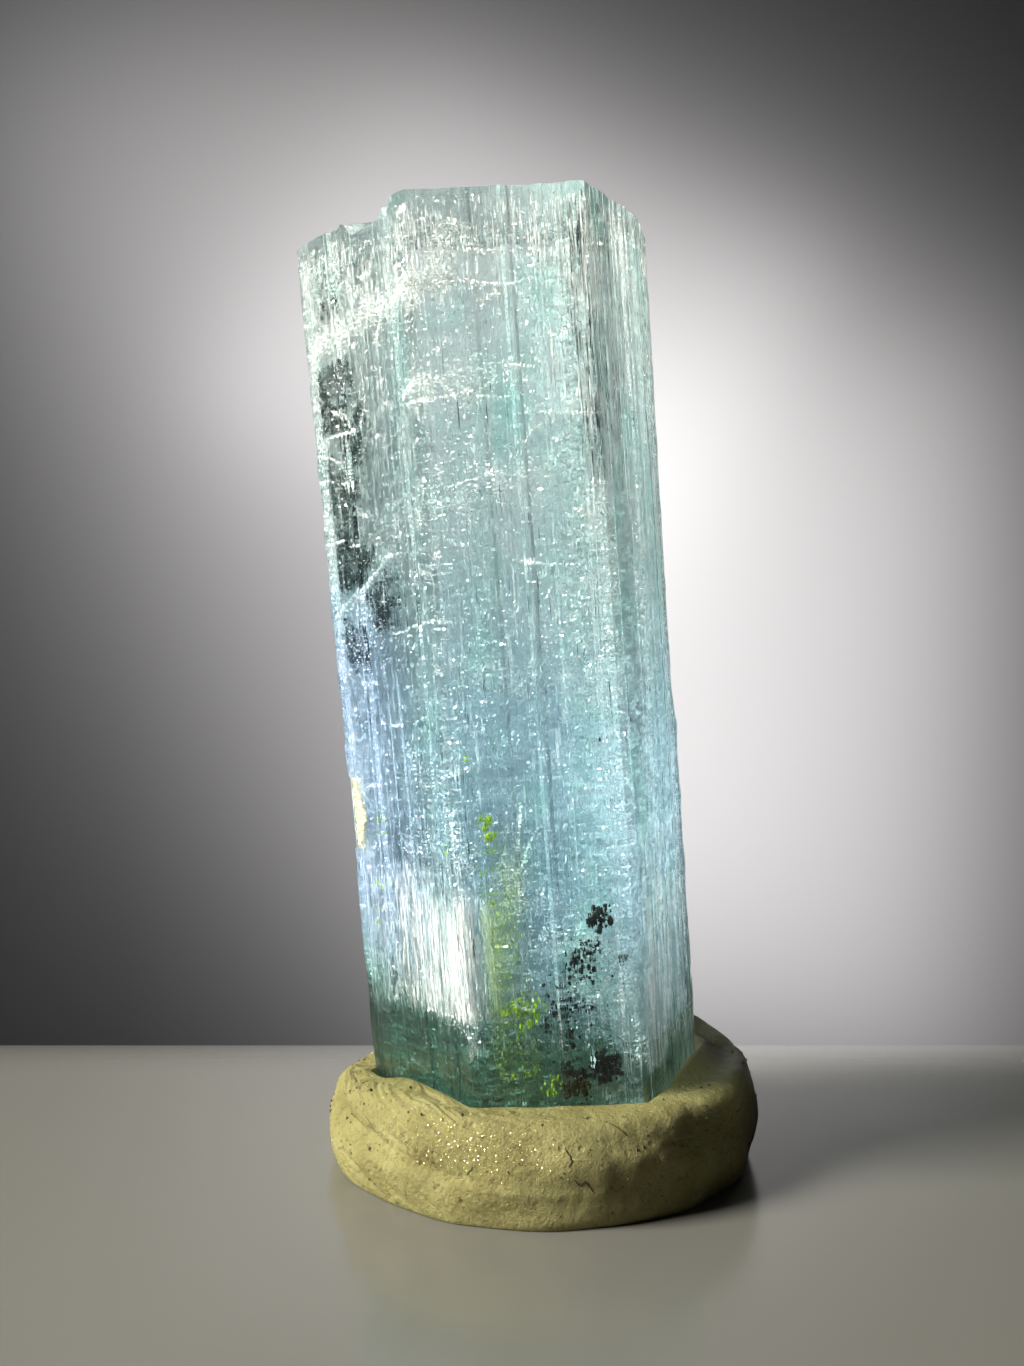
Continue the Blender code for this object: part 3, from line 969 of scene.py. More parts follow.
# Crowds of bright plates, given in the same way
SPARKLES = (
    (1.6, 620, 0.34, ((7.6, 5.0), (8.6, 6.8), (9.6, 9.0))),
    (1.5, 300, 0.34, ((10.4, 5.6), (11.2, 8.0), (11.6, 11.5))),
    (0.7, 270, 0.34, ((9.6, 9.0), (9.9, 14.0), (10.2, 20.0), (10.2, 27.0))),
    (0.5, 200, 0.34, ((12.9, 12.0), (12.8, 20.0), (12.6, 30.0))),
    (0.7, 110, 0.36, ((6.9, 6.5), (7.3, 12.0), (7.2, 20.0), (7.0, 27.0))),
    (0.5, 90, 0.36, ((12.9, 7.5), (12.7, 14.0), (12.5, 23.0))),
    (0.5, 75, 0.36, ((-7.6, 32.6), (-7.6, 29.0), (-7.7, 22.0), (-7.5, 17.0))),
    (1.4, 150, 0.36, ((-4.0, 13.6), (0.4, 14.6))),
    (0.7, 130, 0.36, ((-3.4, 17.5), (-0.4, 15.6), (0.2, 13.4))),
    (1.6, 120, 0.36, ((-6.6, 21.5), (-4.0, 22.5))),
    (1.6, 110, 0.36, ((2.0, 28.0), (4.4, 26.4))),
    (1.3, 110, 0.36, ((1.0, 30.0), (4.8, 31.0))),
    (1.2, 130, 0.36, ((3.4, 11.0), (5.2, 9.4), (4.8, 7.6))),
    (1.2, 90, 0.36, ((4.4, 20.0), (5.6, 24.0))),
    (0.8, 120, 0.36, ((8.6, 26.0), (9.0, 31.0))),
)
# Open cracks that meet the surface, given in the same way
CRACKS = (
    (0.05, 130, 0.36, ((-8.0, 29.2), (-7.1, 28.96), (-6.14, 28.68), (-5.66, 28.13), (-5.5, 27.4))),
    (0.05, 130, 0.36, ((-7.9, 29.5), (-6.2, 29.66), (-4.77, 29.69), (-5.63, 30.34), (-6.41, 30.65))),
    (0.04, 120, 0.36, ((-7.94, 25.58), (-6.27, 25.59))),
    (0.04, 110, 0.36, ((-7.33, 26.33), (-7.47, 25.27))),
    (
        *(0.05, 170, 0.36),
        ((-7.8, 22.6), (-6.33, 23.23), (-5.3, 23.78), (-4.16, 24.2), (-3.11, 24.82), (-2.41, 24.96)),
    ),
    (0.04, 110, 0.36, ((-6.33, 22.94), (-5.47, 23.43), (-4.69, 24.11))),
    (0.04, 110, 0.36, ((-7.62, 22.46), (-7.61, 20.84))),
    (0.04, 110, 0.36, ((-6.15, 20.34), (-5.68, 19.75))),
    (0.03, 90, 0.36, ((1.29, 34.09), (3.84, 33.94), (4.54, 34.04))),
    (0.04, 110, 0.36, ((-0.85, 30.04), (1.66, 30.22), (3.55, 30.03))),
    (0.03, 90, 0.36, ((3.74, 29.47), (5.07, 29.34), (6.6, 29.25))),
    (0.14, 110, 0.36, ((2.42, 33.35), (3.36, 33.57))),
    (0.10, 110, 0.36, ((2.12, 35.22), (3.47, 34.98))),
    (0.16, 130, 0.36, ((3.35, 31.18), (4.15, 31.02))),
    (0.18, 150, 0.36, ((-1.16, 30.27), (0.17, 30.93))),
    (0.16, 110, 0.36, ((4.91, 32.0), (5.8, 32.3))),
    (0.03, 110, 0.36, ((3.28, 14.61), (2.44, 13.17))),
    (0.03, 110, 0.36, ((2.66, 15.6), (2.46, 13.91))),
    (0.04, 70, 0.36, ((0.97, 27.09), (2.85, 27.38), (3.84, 27.19))),
    (0.04, 70, 0.36, ((3.05, 24.31), (5.43, 23.92))),
    (0.04, 70, 0.36, ((-3.03, 21.97), (0.14, 22.45))),
    (0.04, 70, 0.36, ((8.3, 21.9), (12.15, 20.68))),
    (0.06, 60, 0.5, ((14.3, 22.0), (19.9, 25.8))),
    (0.06, 60, 0.5, ((21.6, 16.0), (27.2, 14.0))),
    (0.06, 60, 0.5, ((28.9, 26.0), (33.7, 28.0))),
)
SHORT_CRACKS = 1000
SHORT_CRACK_HEIGHTS = (7.0, 36.4)


def bands(draw):
    """The healed fractures, the open cracks and many short level cracks between them."""
    veils = [strewn_band(draw, path, *measures, 0.04) for *measures, path in VEILS]
    inclusion("fluid_veils", join(*veils), (0.86, 0.88, 0.86), 0.4, spread=0.08)
    cracks = [strewn_band(draw, path, *measures, 0.06) for *measures, path in CRACKS]
    cracks.extend(strewn_band(draw, path, *measures, 0.055) for *measures, path in SPARKLES)
    for _ in range(SHORT_CRACKS):
        around = draw.uniform(-8.0, GIRTH - 8.0)
        height = draw.uniform(*SHORT_CRACK_HEIGHTS)
        middle = under_surface(around, height, 0.5)
        if draw.random() > 0.15 + 1.6 * max(noise.noise(Vector(middle) * 0.9), 0.0):
            continue
        length = min(0.08 + draw.exponential(0.22), 1.2)
        path = ((around, height), (around + length, height + length * draw.normal(0, 0.6)))
        cracks.append(strewn_band(draw, path, 0.03, 150, 0.34 + draw.exponential(0.25), 0.06))
    inclusion("crack_faces", join(*cracks), (0.96, 0.98, 0.96), 0.38, metallic=0.35, spread=0.04)


# Bundles of growth tubes: places round the crystal, low and high end, depth, count, longest tube
TUBE_BUNDLES = (
    (-2.6, 0.0, 7.5, 12.0, 0.36, 620, 2.4),
    (-1.2, 0.1, 7.6, 11.4, 0.36, 420, 2.0),
    (-0.1, 1.25, 7.7, 12.2, 0.36, 380, 2.0),
    (-4.4, -2.0, 7.4, 13.0, 0.36, 400, 2.8),
    (-6.0, 0.8, 9.0, 15.5, 0.36, 200, 1.6),
    (-7.7, -4.4, 7.0, 13.0, 0.38, 420, 1.8),
    (7.2, 12.8, 4.8, 13.8, 0.34, 640, 1.4),
    (7.4, 10.0, 4.6, 8.6, 0.34, 760, 0.8),
    (12.0, 13.4, 6.0, 24.0, 0.36, 260, 0.9),
    (6.0, 10.5, 25.0, 36.9, 0.35, 520, 5.0),
    (10.5, 13.3, 24.0, 36.9, 0.35, 300, 3.0),
    (-8.0, 7.0, 33.4, 36.97, 0.36, 900, 0.9),
    (4.6, 6.5, 28.0, 36.8, 0.42, 70, 4.0),
    (0.4, 6.4, 6.0, 36.8, 0.9, 400, 3.0),
    (-7.7, -0.2, 13.0, 36.8, 0.7, 420, 3.0),
    (13.8, 20.5, 6.0, 36.6, 0.7, 500, 4.0),
    (21.1, 27.8, 6.0, 36.6, 0.7, 500, 4.0),
    (28.3, 34.0, 6.0, 36.6, 0.7, 500, 4.0),
)
# The same for tubes that are stained dark
DARK_BUNDLES = (
    (5.8, 9.6, 26.5, 36.9, 0.33, 270, 7.0),
    (9.8, 13.2, 26.0, 36.9, 0.34, 36, 5.0),
    (5.3, 6.5, 30.0, 36.9, 0.34, 14, 4.0),
    (4.5, 4.8, 34.0, 36.9, 0.34, 5, 2.0),
    (-4.2, 0.7, 7.3, 13.5, 0.33, 80, 3.4),
    (7.2, 12.9, 4.6, 20.0, 0.34, 110, 3.0),
    (0.4, 6.4, 18.0, 33.0, 0.36, 46, 2.0),
    (-7.6, -4.0, 18.0, 30.0, 0.36, 60, 2.0),
    (-5.0, 1.0, 12.0, 20.0, 0.36, 40, 2.0),
    (13.8, 34.0, 8.0, 36.6, 0.4, 160, 4.0),
)


def bundles(draw, table, thinnest, thickest):
    """Upright needles for each row of the table, each of which ends inside the row's heights."""
    parts = []
    for start, end, low, high, depth, count, longest in table:
        around = draw.uniform(start, end, count)
        height = draw.uniform(low, high, count)
        room = np.minimum(height - low, high - height) * 2 + 0.25
        lengths = np.minimum(np.minimum(0.25 + draw.exponential(longest / 3, count), longest), room)
        centres = under_surface(around, height, depth + draw.exponential(0.2, count))
        keep = inside_share(centres) > NEEDLE_MARGIN
        widths = draw.uniform(thinnest, thickest, count)
        parts.append(needles(draw, centres[keep], lengths[keep], widths[keep]))
    return join(*parts)


def growth_tubes(draw):
    """Hollow tubes along the axis, which catch the light as fine white lines, and stained ones."""
    pale = bundles(draw, TUBE_BUNDLES, 0.015, 0.05)
    inclusion("growth_tubes", pale, (0.95, 0.97, 0.97), 0.3, spread=0.05)
    stained = bundles(draw, DARK_BUNDLES, 0.02, 0.045)
    inclusion("stained_tubes", stained, (0.035, 0.06, 0.06), 0.4, spread=0.3)


# Dark mineral grains: place round the crystal, height, depth, radius of the cluster, how many, grain size
DARK_CLUSTERS = (
    (5.23, 10.95, 0.42, 0.44, 80, 0.14),
    (5.45, 11.4, 0.42, 0.24, 16, 0.09),
    (4.69, 9.80, 0.42, 0.60, 70, 0.11),
    (4.39, 9.21, 0.42, 0.60, 80, 0.12),
    (6.05, 9.31, 0.42, 0.18, 7, 0.12),
    (3.90, 7.82, 0.42, 0.90, 110, 0.10),
    (4.3, 8.4, 0.42, 1.7, 130, 0.05),
    (3.6, 7.2, 0.5, 0.55, 20, 0.12),
    (3.89, 6.53, 0.45, 0.30, 12, 0.13),
    (5.12, 5.36, 0.40, 0.58, 190, 0.15),
    (4.00, 4.80, 0.40, 0.48, 130, 0.14),
    (4.5, 5.1, 0.42, 1.1, 50, 0.07),
    (3.75, 5.6, 0.42, 0.35, 14, 0.12),
    (3.55, 5.69, 0.6, 0.5, 10, 0.08),
    (5.73, 17.60, 0.40, 0.03, 2, 0.07),
    (16.7, 8.0, 1.2, 0.8, 16, 0.12),
    (31.0, 15.0, 1.2, 0.7, 12, 0.11),
)
GREEN_CLUSTERS = (
    (1.33, 14.95, 0.38, 0.24, 60, 0.09),
    (1.45, 14.4, 0.38, 0.24, 50, 0.085),
    (1.50, 13.9, 0.42, 0.12, 6, 0.07),
    (2.36, 7.82, 0.40, 0.60, 120, 0.10),
    (1.85, 7.97, 0.42, 0.45, 50, 0.08),
    (2.2, 7.1, 0.45, 0.35, 18, 0.10),
    (3.16, 4.85, 0.45, 0.55, 26, 0.12),
    (-0.76, 14.03, 0.42, 0.18, 8, 0.09),
    (0.1, 12.95, 0.42, 0.10, 3, 0.06),
    (0.89, 17.33, 0.45, 0.12, 5, 0.07),
    (-6.2, 11.7, 0.42, 0.35, 16, 0.08),
    (-6.0, 14.4, 0.42, 0.6, 16, 0.08),
    (-6.6, 10.4, 0.42, 0.5, 12, 0.07),
    (1.2, 13.4, 0.5, 0.7, 50, 0.05),
    (1.4, 12.0, 0.5, 0.8, 70, 0.05),
    (1.5, 10.6, 0.5, 0.8, 80, 0.05),
    (1.65, 9.2, 0.5, 0.8, 90, 0.05),
    (1.8, 7.9, 0.5, 0.8, 90, 0.05),
    (1.9, 6.6, 0.5, 0.8, 70, 0.05),
    (2.0, 5.4, 0.5, 0.8, 60, 0.05),
)


def grain(draw, centre, size):
    """One irregular mineral grain: a pinched lump with eight sides."""
    corners = []
    for turn in range(4):
        heading = turn * math.tau / 4 + draw.uniform(-0.4, 0.4)
        for level in (-0.5, 0.5):
            reach = size * draw.uniform(0.35, 0.75)
            lift = level * size * draw.uniform(0.5, 1.6)
            corners.append((math.cos(heading) * reach, math.sin(heading) * reach, lift))
    corners.append((0, 0, -size * draw.uniform(0.6, 1.3)))
    corners.append((0, 0, size * draw.uniform(0.6, 1.3)))
    faces = []
    for turn in range(4):
        a, b = 2 * turn, 2 * ((turn + 1) % 4)
        faces.extend(([a, b, b + 1, a + 1], [8, b, a], [9, a + 1, b + 1]))
    return np.array(corners) + centre, faces


def grain_clusters(draw, clusters):
    parts = []
    for around, height, depth, radius, count, size in clusters:
        middle = under_surface(around, height, depth)
        for _ in range(count):
            offset = np.clip(draw.normal(size=3) * radius * 0.5, -radius, radius)
            centre = middle + offset
            if inside_share(centre[None])[0] > GRAIN_MARGIN:
                parts.append(grain(draw, centre, size * draw.uniform(0.45, 1.2)))
    return join(*parts)


def mineral_grains(draw):
    """Clusters of black and of green mineral grains."""
    dark = grain_clusters(draw, DARK_CLUSTERS)
    inclusion("dark_grains", dark, (0.006, 0.009, 0.009), 0.45, "dark_mineral")
    green = grain_clusters(draw, GREEN_CLUSTERS)
    inclusion("green_grains", green, (0.44, 0.62, 0.03), 0.5, "green_mineral", spread=0.35)


# Patches of dark plates behind the left edge: the corners (place round the crystal, height)
DARK_PATCHES = (
    ((-7.43, 31.98), (-5.39, 32.27), (-4.26, 29.84), (-7.42, 30.02)),
    ((-6.55, 29.59), (-4.58, 29.44), (-4.98, 28.24), (-6.94, 28.98)),
    ((-7.26, 28.7), (-5.38, 28.29), (-5.64, 26.2), (-7.37, 26.54)),
    ((-7.11, 26.12), (-5.58, 26.08), (-5.82, 25.32), (-6.74, 25.38)),
    ((-7.03, 25.24), (-4.45, 24.78), (-6.28, 23.9), (-7.19, 24.06)),
    ((-5.36, 23.48), (-3.39, 24.16), (-3.57, 22.4), (-4.81, 22.11)),
    ((-7.03, 22.33), (-5.9, 22.83), (-5.95, 20.94), (-7.01, 20.76)),
    ((-6.6, 35.3), (-6.2, 35.26), (-6.1, 34.1), (-6.5, 34.14)),
)
DARK_PLATES = 270  # for each square millimetre
DARK_PLATE_SIZES = (0.03, 0.11)
PATCH_FRAY = 0.22  # how far a patch frays out
PATCH_DEPTH = 0.75
PATCH_PITCH = (1.1, 1.1, 0.9)


def dark_patches(draw):
    """Dark, green-black patches of plates between the white cracks."""
    parts = []
    for corners in DARK_PATCHES:
        first, second, third, fourth = (np.array(corner) for corner in corners)
        size = np.linalg.norm(second - first) * np.linalg.norm(third - second)
        u, v = draw.uniform(-0.05, 1.05, (2, int(DARK_PLATES * size), 1))
        spots = (first * (1 - u) + second * u) * (1 - v) + (fourth * (1 - u) + third * u) * v
        spots = spots + draw.normal(0, PATCH_FRAY, spots.shape)
        depth = PATCH_DEPTH + draw.exponential(0.18, len(spots))
        centres = under_surface(spots[:, 0], spots[:, 1], depth)
        torn = noise_at(centres, PATCH_PITCH) > draw.normal(-0.14, 0.08, len(centres))
        centres = centres[torn & (inside_share(centres) > PATCH_MARGIN)]
        parts.append(flakes(draw, centres, DARK_PLATE_SIZES, (1.0, 3.2), upright=1.4))
    inclusion("dark_plates", join(*parts), (0.06, 0.095, 0.09), 0.4, spread=0.5)


SCAR_TRIES = 10000
SCAR_REACH = 1.4  # above and below its middle
SCAR_PLACES = (0.1, 1.5)
SCAR_SIZES = (0.03, 0.07)


def edge_scar(draw):
    """Cream crushed beryl in the scar on the left edge."""
    height = EDGE_CHIP_HEIGHT + draw.uniform(-SCAR_REACH, SCAR_REACH, SCAR_TRIES)
    bulge = 1 - 0.6 * np.abs(height - EDGE_CHIP_HEIGHT) / SCAR_REACH
    around = STARTS[5] + draw.uniform(*SCAR_PLACES, SCAR_TRIES) * bulge
    centres = under_surface(around, height, 0.36 + draw.exponential(0.06, SCAR_TRIES))
    centres = centres[inside_share(centres) > GRAIN_MARGIN]
    shapes = flakes(draw, centres, SCAR_SIZES, (1.0, 1.8), upright=0.8)
    inclusion("crushed_edge", shapes, (0.95, 0.91, 0.74), 0.5, "crushed_beryl", spread=0.08)


# The putty

TO_CRYSTAL = CRYSTAL_FRAME.inverted()
NORMALS = [outward(face) for face in range(6)]


def reach_of_prism(heading, height):
    """How far the plain prism reaches from the putty's axis at this heading and height."""
    start = TO_CRYSTAL @ Vector((0, 0, height))
    along = TO_CRYSTAL.to_3x3() @ Vector((math.cos(heading), math.sin(heading), 0))
    reach = math.inf
    for face, corner in enumerate(CORNERS):
        normal = NORMALS[face]
        closing = normal.dot(along.xy)
        if closing > 0.05:
            reach = min(reach, (normal.dot(corner) * taper(height) - normal.dot(start.xy)) / closing)
    return reach


def rope_size(heading):
    """Height and outer radius of the rope at this heading."""
    step = math.tau / len(ROPE)
    station = heading % math.tau / step
    here = int(station) % len(ROPE)
    share = smooth(0, 1, station - int(station))
    _, height, radius = ROPE[here]
    _, next_height, next_radius = ROPE[(here + 1) % len(ROPE)]
    return height + (next_height - height) * share, radius + (next_radius - radius) * share


def seam_cut(heading, tube):
    """Depth of the sunken seam where the rope's two ends overlap."""
    share = (heading % math.tau - SEAM_START) / (SEAM_END - SEAM_START)
    if not 0 <= share <= 1:
        return 0.0
    middle = SEAM_HIGH + (SEAM_LOW - SEAM_HIGH) * share
    across = (tube - middle) / SEAM_WIDTH
    along = smooth(0.0, SEAM_OPENING, share) * (1 - share) ** SEAM_FADE
    crease = 0.35 * math.exp(-abs(across) * 4)
    return SEAM_DEPTH * along * (math.exp(-across * across) * 0.8 + crease)


def valley(heading, across):
    """Depth of the valley pressed into the rope at the right."""
    turn = math.remainder(heading - VALLEY_HEADING, math.tau) / VALLEY_WIDTH
    return VALLEY_DEPTH * math.exp(-turn * turn) * math.sin(math.pi * across) ** 2


def power(value, exponent):
    return math.copysign(abs(value) ** exponent, value)


# Folds of the putty's stretched skin: depth, pitch, sharpness, how much they waver, how fast they waver
FOLDS = ((0.10, 3.1, 12, 0.0, 1.0), (0.09, 8.0, 8, 2.0, 7.0), (0.05, 17.0, 4, 3.0, 9.0))


def wrinkles(heading, tube, at):
    """Depth of the folds, which run slantwise round the rope and are strongest at the left."""
    turn = math.degrees(heading) % 360
    strong = smooth(150, 190, turn) * (1 - smooth(228, 285, turn - 12 * math.sin(tube)))
    warp = 1.3 * noise.noise(at * 2.1) + 0.4 * noise.noise(at * 5.3)
    phase = tube * 4.6 + heading * 8.2 + warp * 1.5
    total = 0.0
    for depth, pitch, sharpness, waver, waver_pitch in FOLDS:
        wave = 0.5 + 0.5 * math.sin(phase * pitch + waver * noise.noise(at * waver_pitch))
        total += depth * wave**sharpness
    return strong * total


PUTTY_RELIEF = ((0.05, 0.9), (0.02, 2.6), (0.008, 7.0))  # depth and pitch


def putty_point(heading, tube):
    """A point on the ring's outside, in millimetres from its middle. tube turns round the rope."""
    squareness = OUTER_SQUARENESS if math.cos(tube) > 0 else INNER_SQUARENESS
    across = (1 + power(math.cos(tube), squareness)) / 2
    up = power(math.sin(tube), squareness)
    height, outer = rope_size(heading)
    at = Vector((math.cos(heading), math.sin(heading), 0.5 * math.sin(tube)))
    lump = LUMP_SIZE * noise.noise(LUMP_PITCH * at)
    cut = seam_cut(heading, tube)
    share = max((up + FLAT_UNDER) / (1 + FLAT_UNDER), 0.0)
    z = share * (height + lump - max(up, 0.0) * (cut + valley(heading, across)))
    inner = reach_of_prism(heading, z) + PUTTY_TOUCH
    radius = inner + (outer - inner) * across + max(2 * across - 1, 0.0) * (lump * SIDE_LUMPS - cut)
    place = Vector((radius * math.cos(heading), radius * math.sin(heading), z))
    fine = sum(depth * noise.noise(place * pitch) for depth, pitch in PUTTY_RELIEF)
    relief = (0.06 - fine + wrinkles(heading, tube, at)) * smooth(0.0, 0.6, z) * smooth(0.0, 0.35, across)
    level = math.cos(tube)
    out = Vector((math.cos(heading) * level, math.sin(heading) * level, max(math.sin(tube), 0)))
    return place - out * relief


def putty_body(material):
    """The ring's outside, with its wrinkles, which stands for the CAD solid."""
    points = []
    for segment in range(PUTTY_SEGMENTS):
        heading = segment / PUTTY_SEGMENTS * math.tau
        for step in range(PUTTY_TUBE_SEGMENTS):
            tube = step / PUTTY_TUBE_SEGMENTS * math.tau
            points.append(putty_point(heading, tube) + PUTTY_CENTRE)
    faces = grid_faces(PUTTY_SEGMENTS, PUTTY_TUBE_SEGMENTS, closed=True)
    made = mesh_piece("putty_body", np.array(points) * MM, faces, material)
    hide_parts("putty_ring")


PUTTY_TINTS = ((0.25, (0.22, 0.19, 0.06)), (0.5, (0.315, 0.285, 0.10)), (0.75, (0.41, 0.38, 0.155)))
GRIME = (0.11, 0.09, 0.035)
GRIME_STRENGTH = 0.55
PAINTED_SHADE_TINT = (0.035, 0.032, 0.02)  # painted shade on the right and back of the ring
PAINTED_SHADE_EDGE = (7.0, 9.5)  # where it begins and is full, in millimetres to the right and back
PAINTED_SHADE_STRENGTH = 0.75
PAINTED_SHADE_GLOSS = -0.22  # what it adds to the roughness
PUTTY_BUMP = 0.00016
PUTTY_IOR = 1.48


def putty():
    """Khaki putty: mottled, a little greasy, with pits and fine glitter, and painted shade on its right and
    back.
    """
    made, tree, shader = new_material("putty")
    own = millimetres(tree)
    mottle = noise_node(tree, own, 0.6, detail=6.0, roughness=0.6)
    grime = ramp_value(tree, noise_node(tree, own, 4.0, detail=4.0), 0.60, 0.70)
    grime = math_node(tree, "MULTIPLY", grime, GRIME_STRENGTH)
    dirty = mix_colour(tree, grime, colour_ramp(tree, mottle, PUTTY_TINTS), GRIME)
    axes = add(tree, "ShaderNodeSeparateXYZ", {0: own}).outputs
    # Painted shade: the tint darkens towards the right and back of the ring, which is also made glossier
    # there
    rightwards = math_node(tree, "MULTIPLY_ADD", axes["Y"], 0.6, axes["X"])
    ragged = math_node(tree, "MULTIPLY_ADD", mottle, 3.0, rightwards)
    painted_shade = math_node(tree, "MULTIPLY", ramp_value(tree, ragged, *PAINTED_SHADE_EDGE), PAINTED_SHADE_STRENGTH)
    tint = mix_colour(tree, painted_shade, dirty, PAINTED_SHADE_TINT)
    rough = math_node(tree, "MULTIPLY_ADD", noise_node(tree, own, 1.1, detail=3.0), 0.3, 0.42)
    rough = math_node(tree, "MULTIPLY_ADD", painted_shade, PAINTED_SHADE_GLOSS, rough)
    pitted = ramp_value(tree, pits_node(tree, own, 1.6), 0.0, 0.22)
    grainy = noise_node(tree, own, 2.6, detail=8.0, roughness=0.72)
    relief = math_node(tree, "MULTIPLY_ADD", pitted, 0.8, math_node(tree, "MULTIPLY", grainy, 1.6))
    normal = bump(tree, relief, 0.85, PUTTY_BUMP)
    feed(tree, shader, {"Base Color": tint, "Roughness": rough, "Normal": normal, "IOR": PUTTY_IOR})
    return made


def on_putty(heading, tube, above):
    """A point this far above the putty's skin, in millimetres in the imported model's frame."""
    here = putty_point(heading, tube)
    along = putty_point(heading + 0.01, tube) - here
    across = putty_point(heading, tube + 0.02) - here
    return here + along.cross(across).normalized() * above + PUTTY_CENTRE


# Dust fibres: (heading, tube) in degrees along each, and thickness
FIBRES = (
    (((274, 38), (275, 30), (275.5, 24), (274.5, 18)), 0.045),
    (((276, 8), (277, 3), (278.5, 6), (280, 0), (281, -4)), 0.035),
    (((279, 84), (280.5, 79), (281.5, 83), (282.5, 78)), 0.03),
    (((286, 66), (287.5, 60), (289, 52), (290, 45)), 0.04),
    (((252, 14), (251, 9), (250.2, 5)), 0.03),
    (((232, 30), (233, 26), (233.5, 21)), 0.025),
    (((60, 40), (63, 33), (66, 34), (68, 28)), 0.035),
    (((125, 55), (127, 45), (128, 38)), 0.03),
    (((200, 60), (201, 55), (203, 53)), 0.03),
    (((330, 30), (332, 25), (335, 27)), 0.03),
)
FIBRE_STEPS = 6  # from one point of the path to the next
FIBRE_SIDES = 5


def fibre(path, thickness):
    """A thin tube that lies on the putty along the path."""
    stops = []
    for (heading, tube), (next_heading, next_tube) in zip(path, path[1:]):
        for step in range(FIBRE_STEPS):
            share = step / FIBRE_STEPS
            turn = math.radians(heading + (next_heading - heading) * share)
            side = math.radians(tube + (next_tube - tube) * share)
            stops.append(on_putty(turn, side, thickness * 0.35))
    points, faces = [], []
    last = len(stops) - 1
    for index, stop in enumerate(stops):
        ahead = stops[min(index + 1, last)] - stops[max(index - 1, 0)]
        side = ahead.cross(Vector((0, 0, 1))).normalized()
        up = side.cross(ahead).normalized()
        slim = thickness / 2 * (1.0 - 0.6 * abs(2 * index / last - 1) ** 3)
        for corner in range(FIBRE_SIDES):
            angle = corner / FIBRE_SIDES * math.tau
            points.append(stop + (side * math.cos(angle) + up * math.sin(angle)) * slim)
    for index in range(last):
        for corner in range(FIBRE_SIDES):
            a, b = index * FIBRE_SIDES + corner, index * FIBRE_SIDES + (corner + 1) % FIBRE_SIDES
            faces.append([a, b, b + FIBRE_SIDES, a + FIBRE_SIDES])
    faces.append(list(range(FIBRE_SIDES - 1, -1, -1)))
    faces.append(list(range(len(points) - FIBRE_SIDES, len(points))))
    return np.array(points), faces


SPECKS = 420
SPECK_SIZE = 0.022
SPECK_LARGEST = 0.09
GLITTER = 3200
GLITTER_SIZES = (0.006, 0.017)
GLITTER_CROWD = ((250, 11), (38, 17))  # middle and spread of the heading and the tube, in degrees


def on_ring(name, shapes, material, flat=True):
    """A piece that lies on the putty. shapes are its points in millimetres and its faces."""
    points, faces = shapes
    mesh_piece(name, points * MM, faces, material, flat=flat)


def dust(draw):
    """Fibres and dark specks that stick to the putty."""
    dark = inclusion_material("dust", (0.06, 0.045, 0.02), 0.6)
    fibres = join(*[fibre(path, thickness) for path, thickness in FIBRES])
    on_ring("dust_fibres", fibres, dark, flat=False)
    specks = []
    for _ in range(SPECKS):
        heading = draw.uniform(0, math.tau)
        tube = math.radians(draw.uniform(-28, 95))
        size = min(SPECK_SIZE / math.sqrt(draw.uniform(0.03, 1.0)), SPECK_LARGEST)
        specks.append(grain(draw, np.array(on_putty(heading, tube, 0.004)), size))
    on_ring("dust_specks", join(*specks), dark)


def glitter(draw):
    """Tiny golden flakes in the putty, most of them where it faces the camera and the light."""
    shiny = inclusion_material("glitter", (0.92, 0.80, 0.42), 0.28, metallic=1.0, spread=0.08)
    headings, tubes = GLITTER_CROWD
    centres = []
    for _ in range(GLITTER):
        in_crowd = draw.uniform() < 0.8
        turn = draw.normal(*headings) if in_crowd else draw.uniform(0, 360)
        tube = math.radians(draw.normal(*tubes) if in_crowd else draw.uniform(-20, 100))
        centres.append(on_putty(math.radians(turn), tube, 0.010))
    flat = flakes(draw, np.array(centres), GLITTER_SIZES, 1.4, facing=PLATES_FACING)
    on_ring("putty_glitter", flat, shiny)


# The stage


def stage_mesh(name, points, faces, material):
    """A smooth mesh that isn't part of the object."""
    made = mesh_object(name, points, faces, material, True)


FLOOR_BEHIND = 0.0105  # the table top is flat up to here, behind the object
FLOOR_BEND = 0.038  # radius of the bend at its far edge
FLOOR_WIDTH = 0.6
FLOOR_FRONT = -0.4


FLOOR_BEND_ANGLE = math.radians(80)
FLOOR_BEND_STEPS = 32
FLOOR_TINTS = ((0.155, 0.153, 0.134), (0.18, 0.178, 0.158))


def floor():
    """A wide pale table top whose far edge bends down, so that it lies low in the picture."""
    table_top = clouded_material("table_top", object_coordinates, 14.0, 3.0, *FLOOR_TINTS, 0.2)
    profile = [(FLOOR_FRONT, 0.0), (FLOOR_BEHIND, 0.0)]
    for step in range(1, FLOOR_BEND_STEPS + 1):
        angle = FLOOR_BEND_ANGLE * step / FLOOR_BEND_STEPS
        profile.append((FLOOR_BEHIND + FLOOR_BEND * math.sin(angle), FLOOR_BEND * (math.cos(angle) - 1)))
    profile.append((profile[-1][0] + 0.05, profile[-1][1] - 0.3))
    points = [(side * FLOOR_WIDTH / 2, y, z) for y, z in profile for side in (-1, 1)]
    faces = [[2 * row, 2 * row + 1, 2 * row + 3, 2 * row + 2] for row in range(len(profile) - 1)]
    stage_mesh("floor", points, faces, table_top)


BACKDROP_DISTANCE = 0.42
BACKDROP_HEADINGS = (20, 160)
BACKDROP_HEIGHTS = (-0.35, 0.75)
BACKDROP_TINTS = ((0.29, 0.285, 0.295), (0.315, 0.31, 0.315))
BACKDROP_COLUMNS, BACKDROP_ROWS = 48, 24


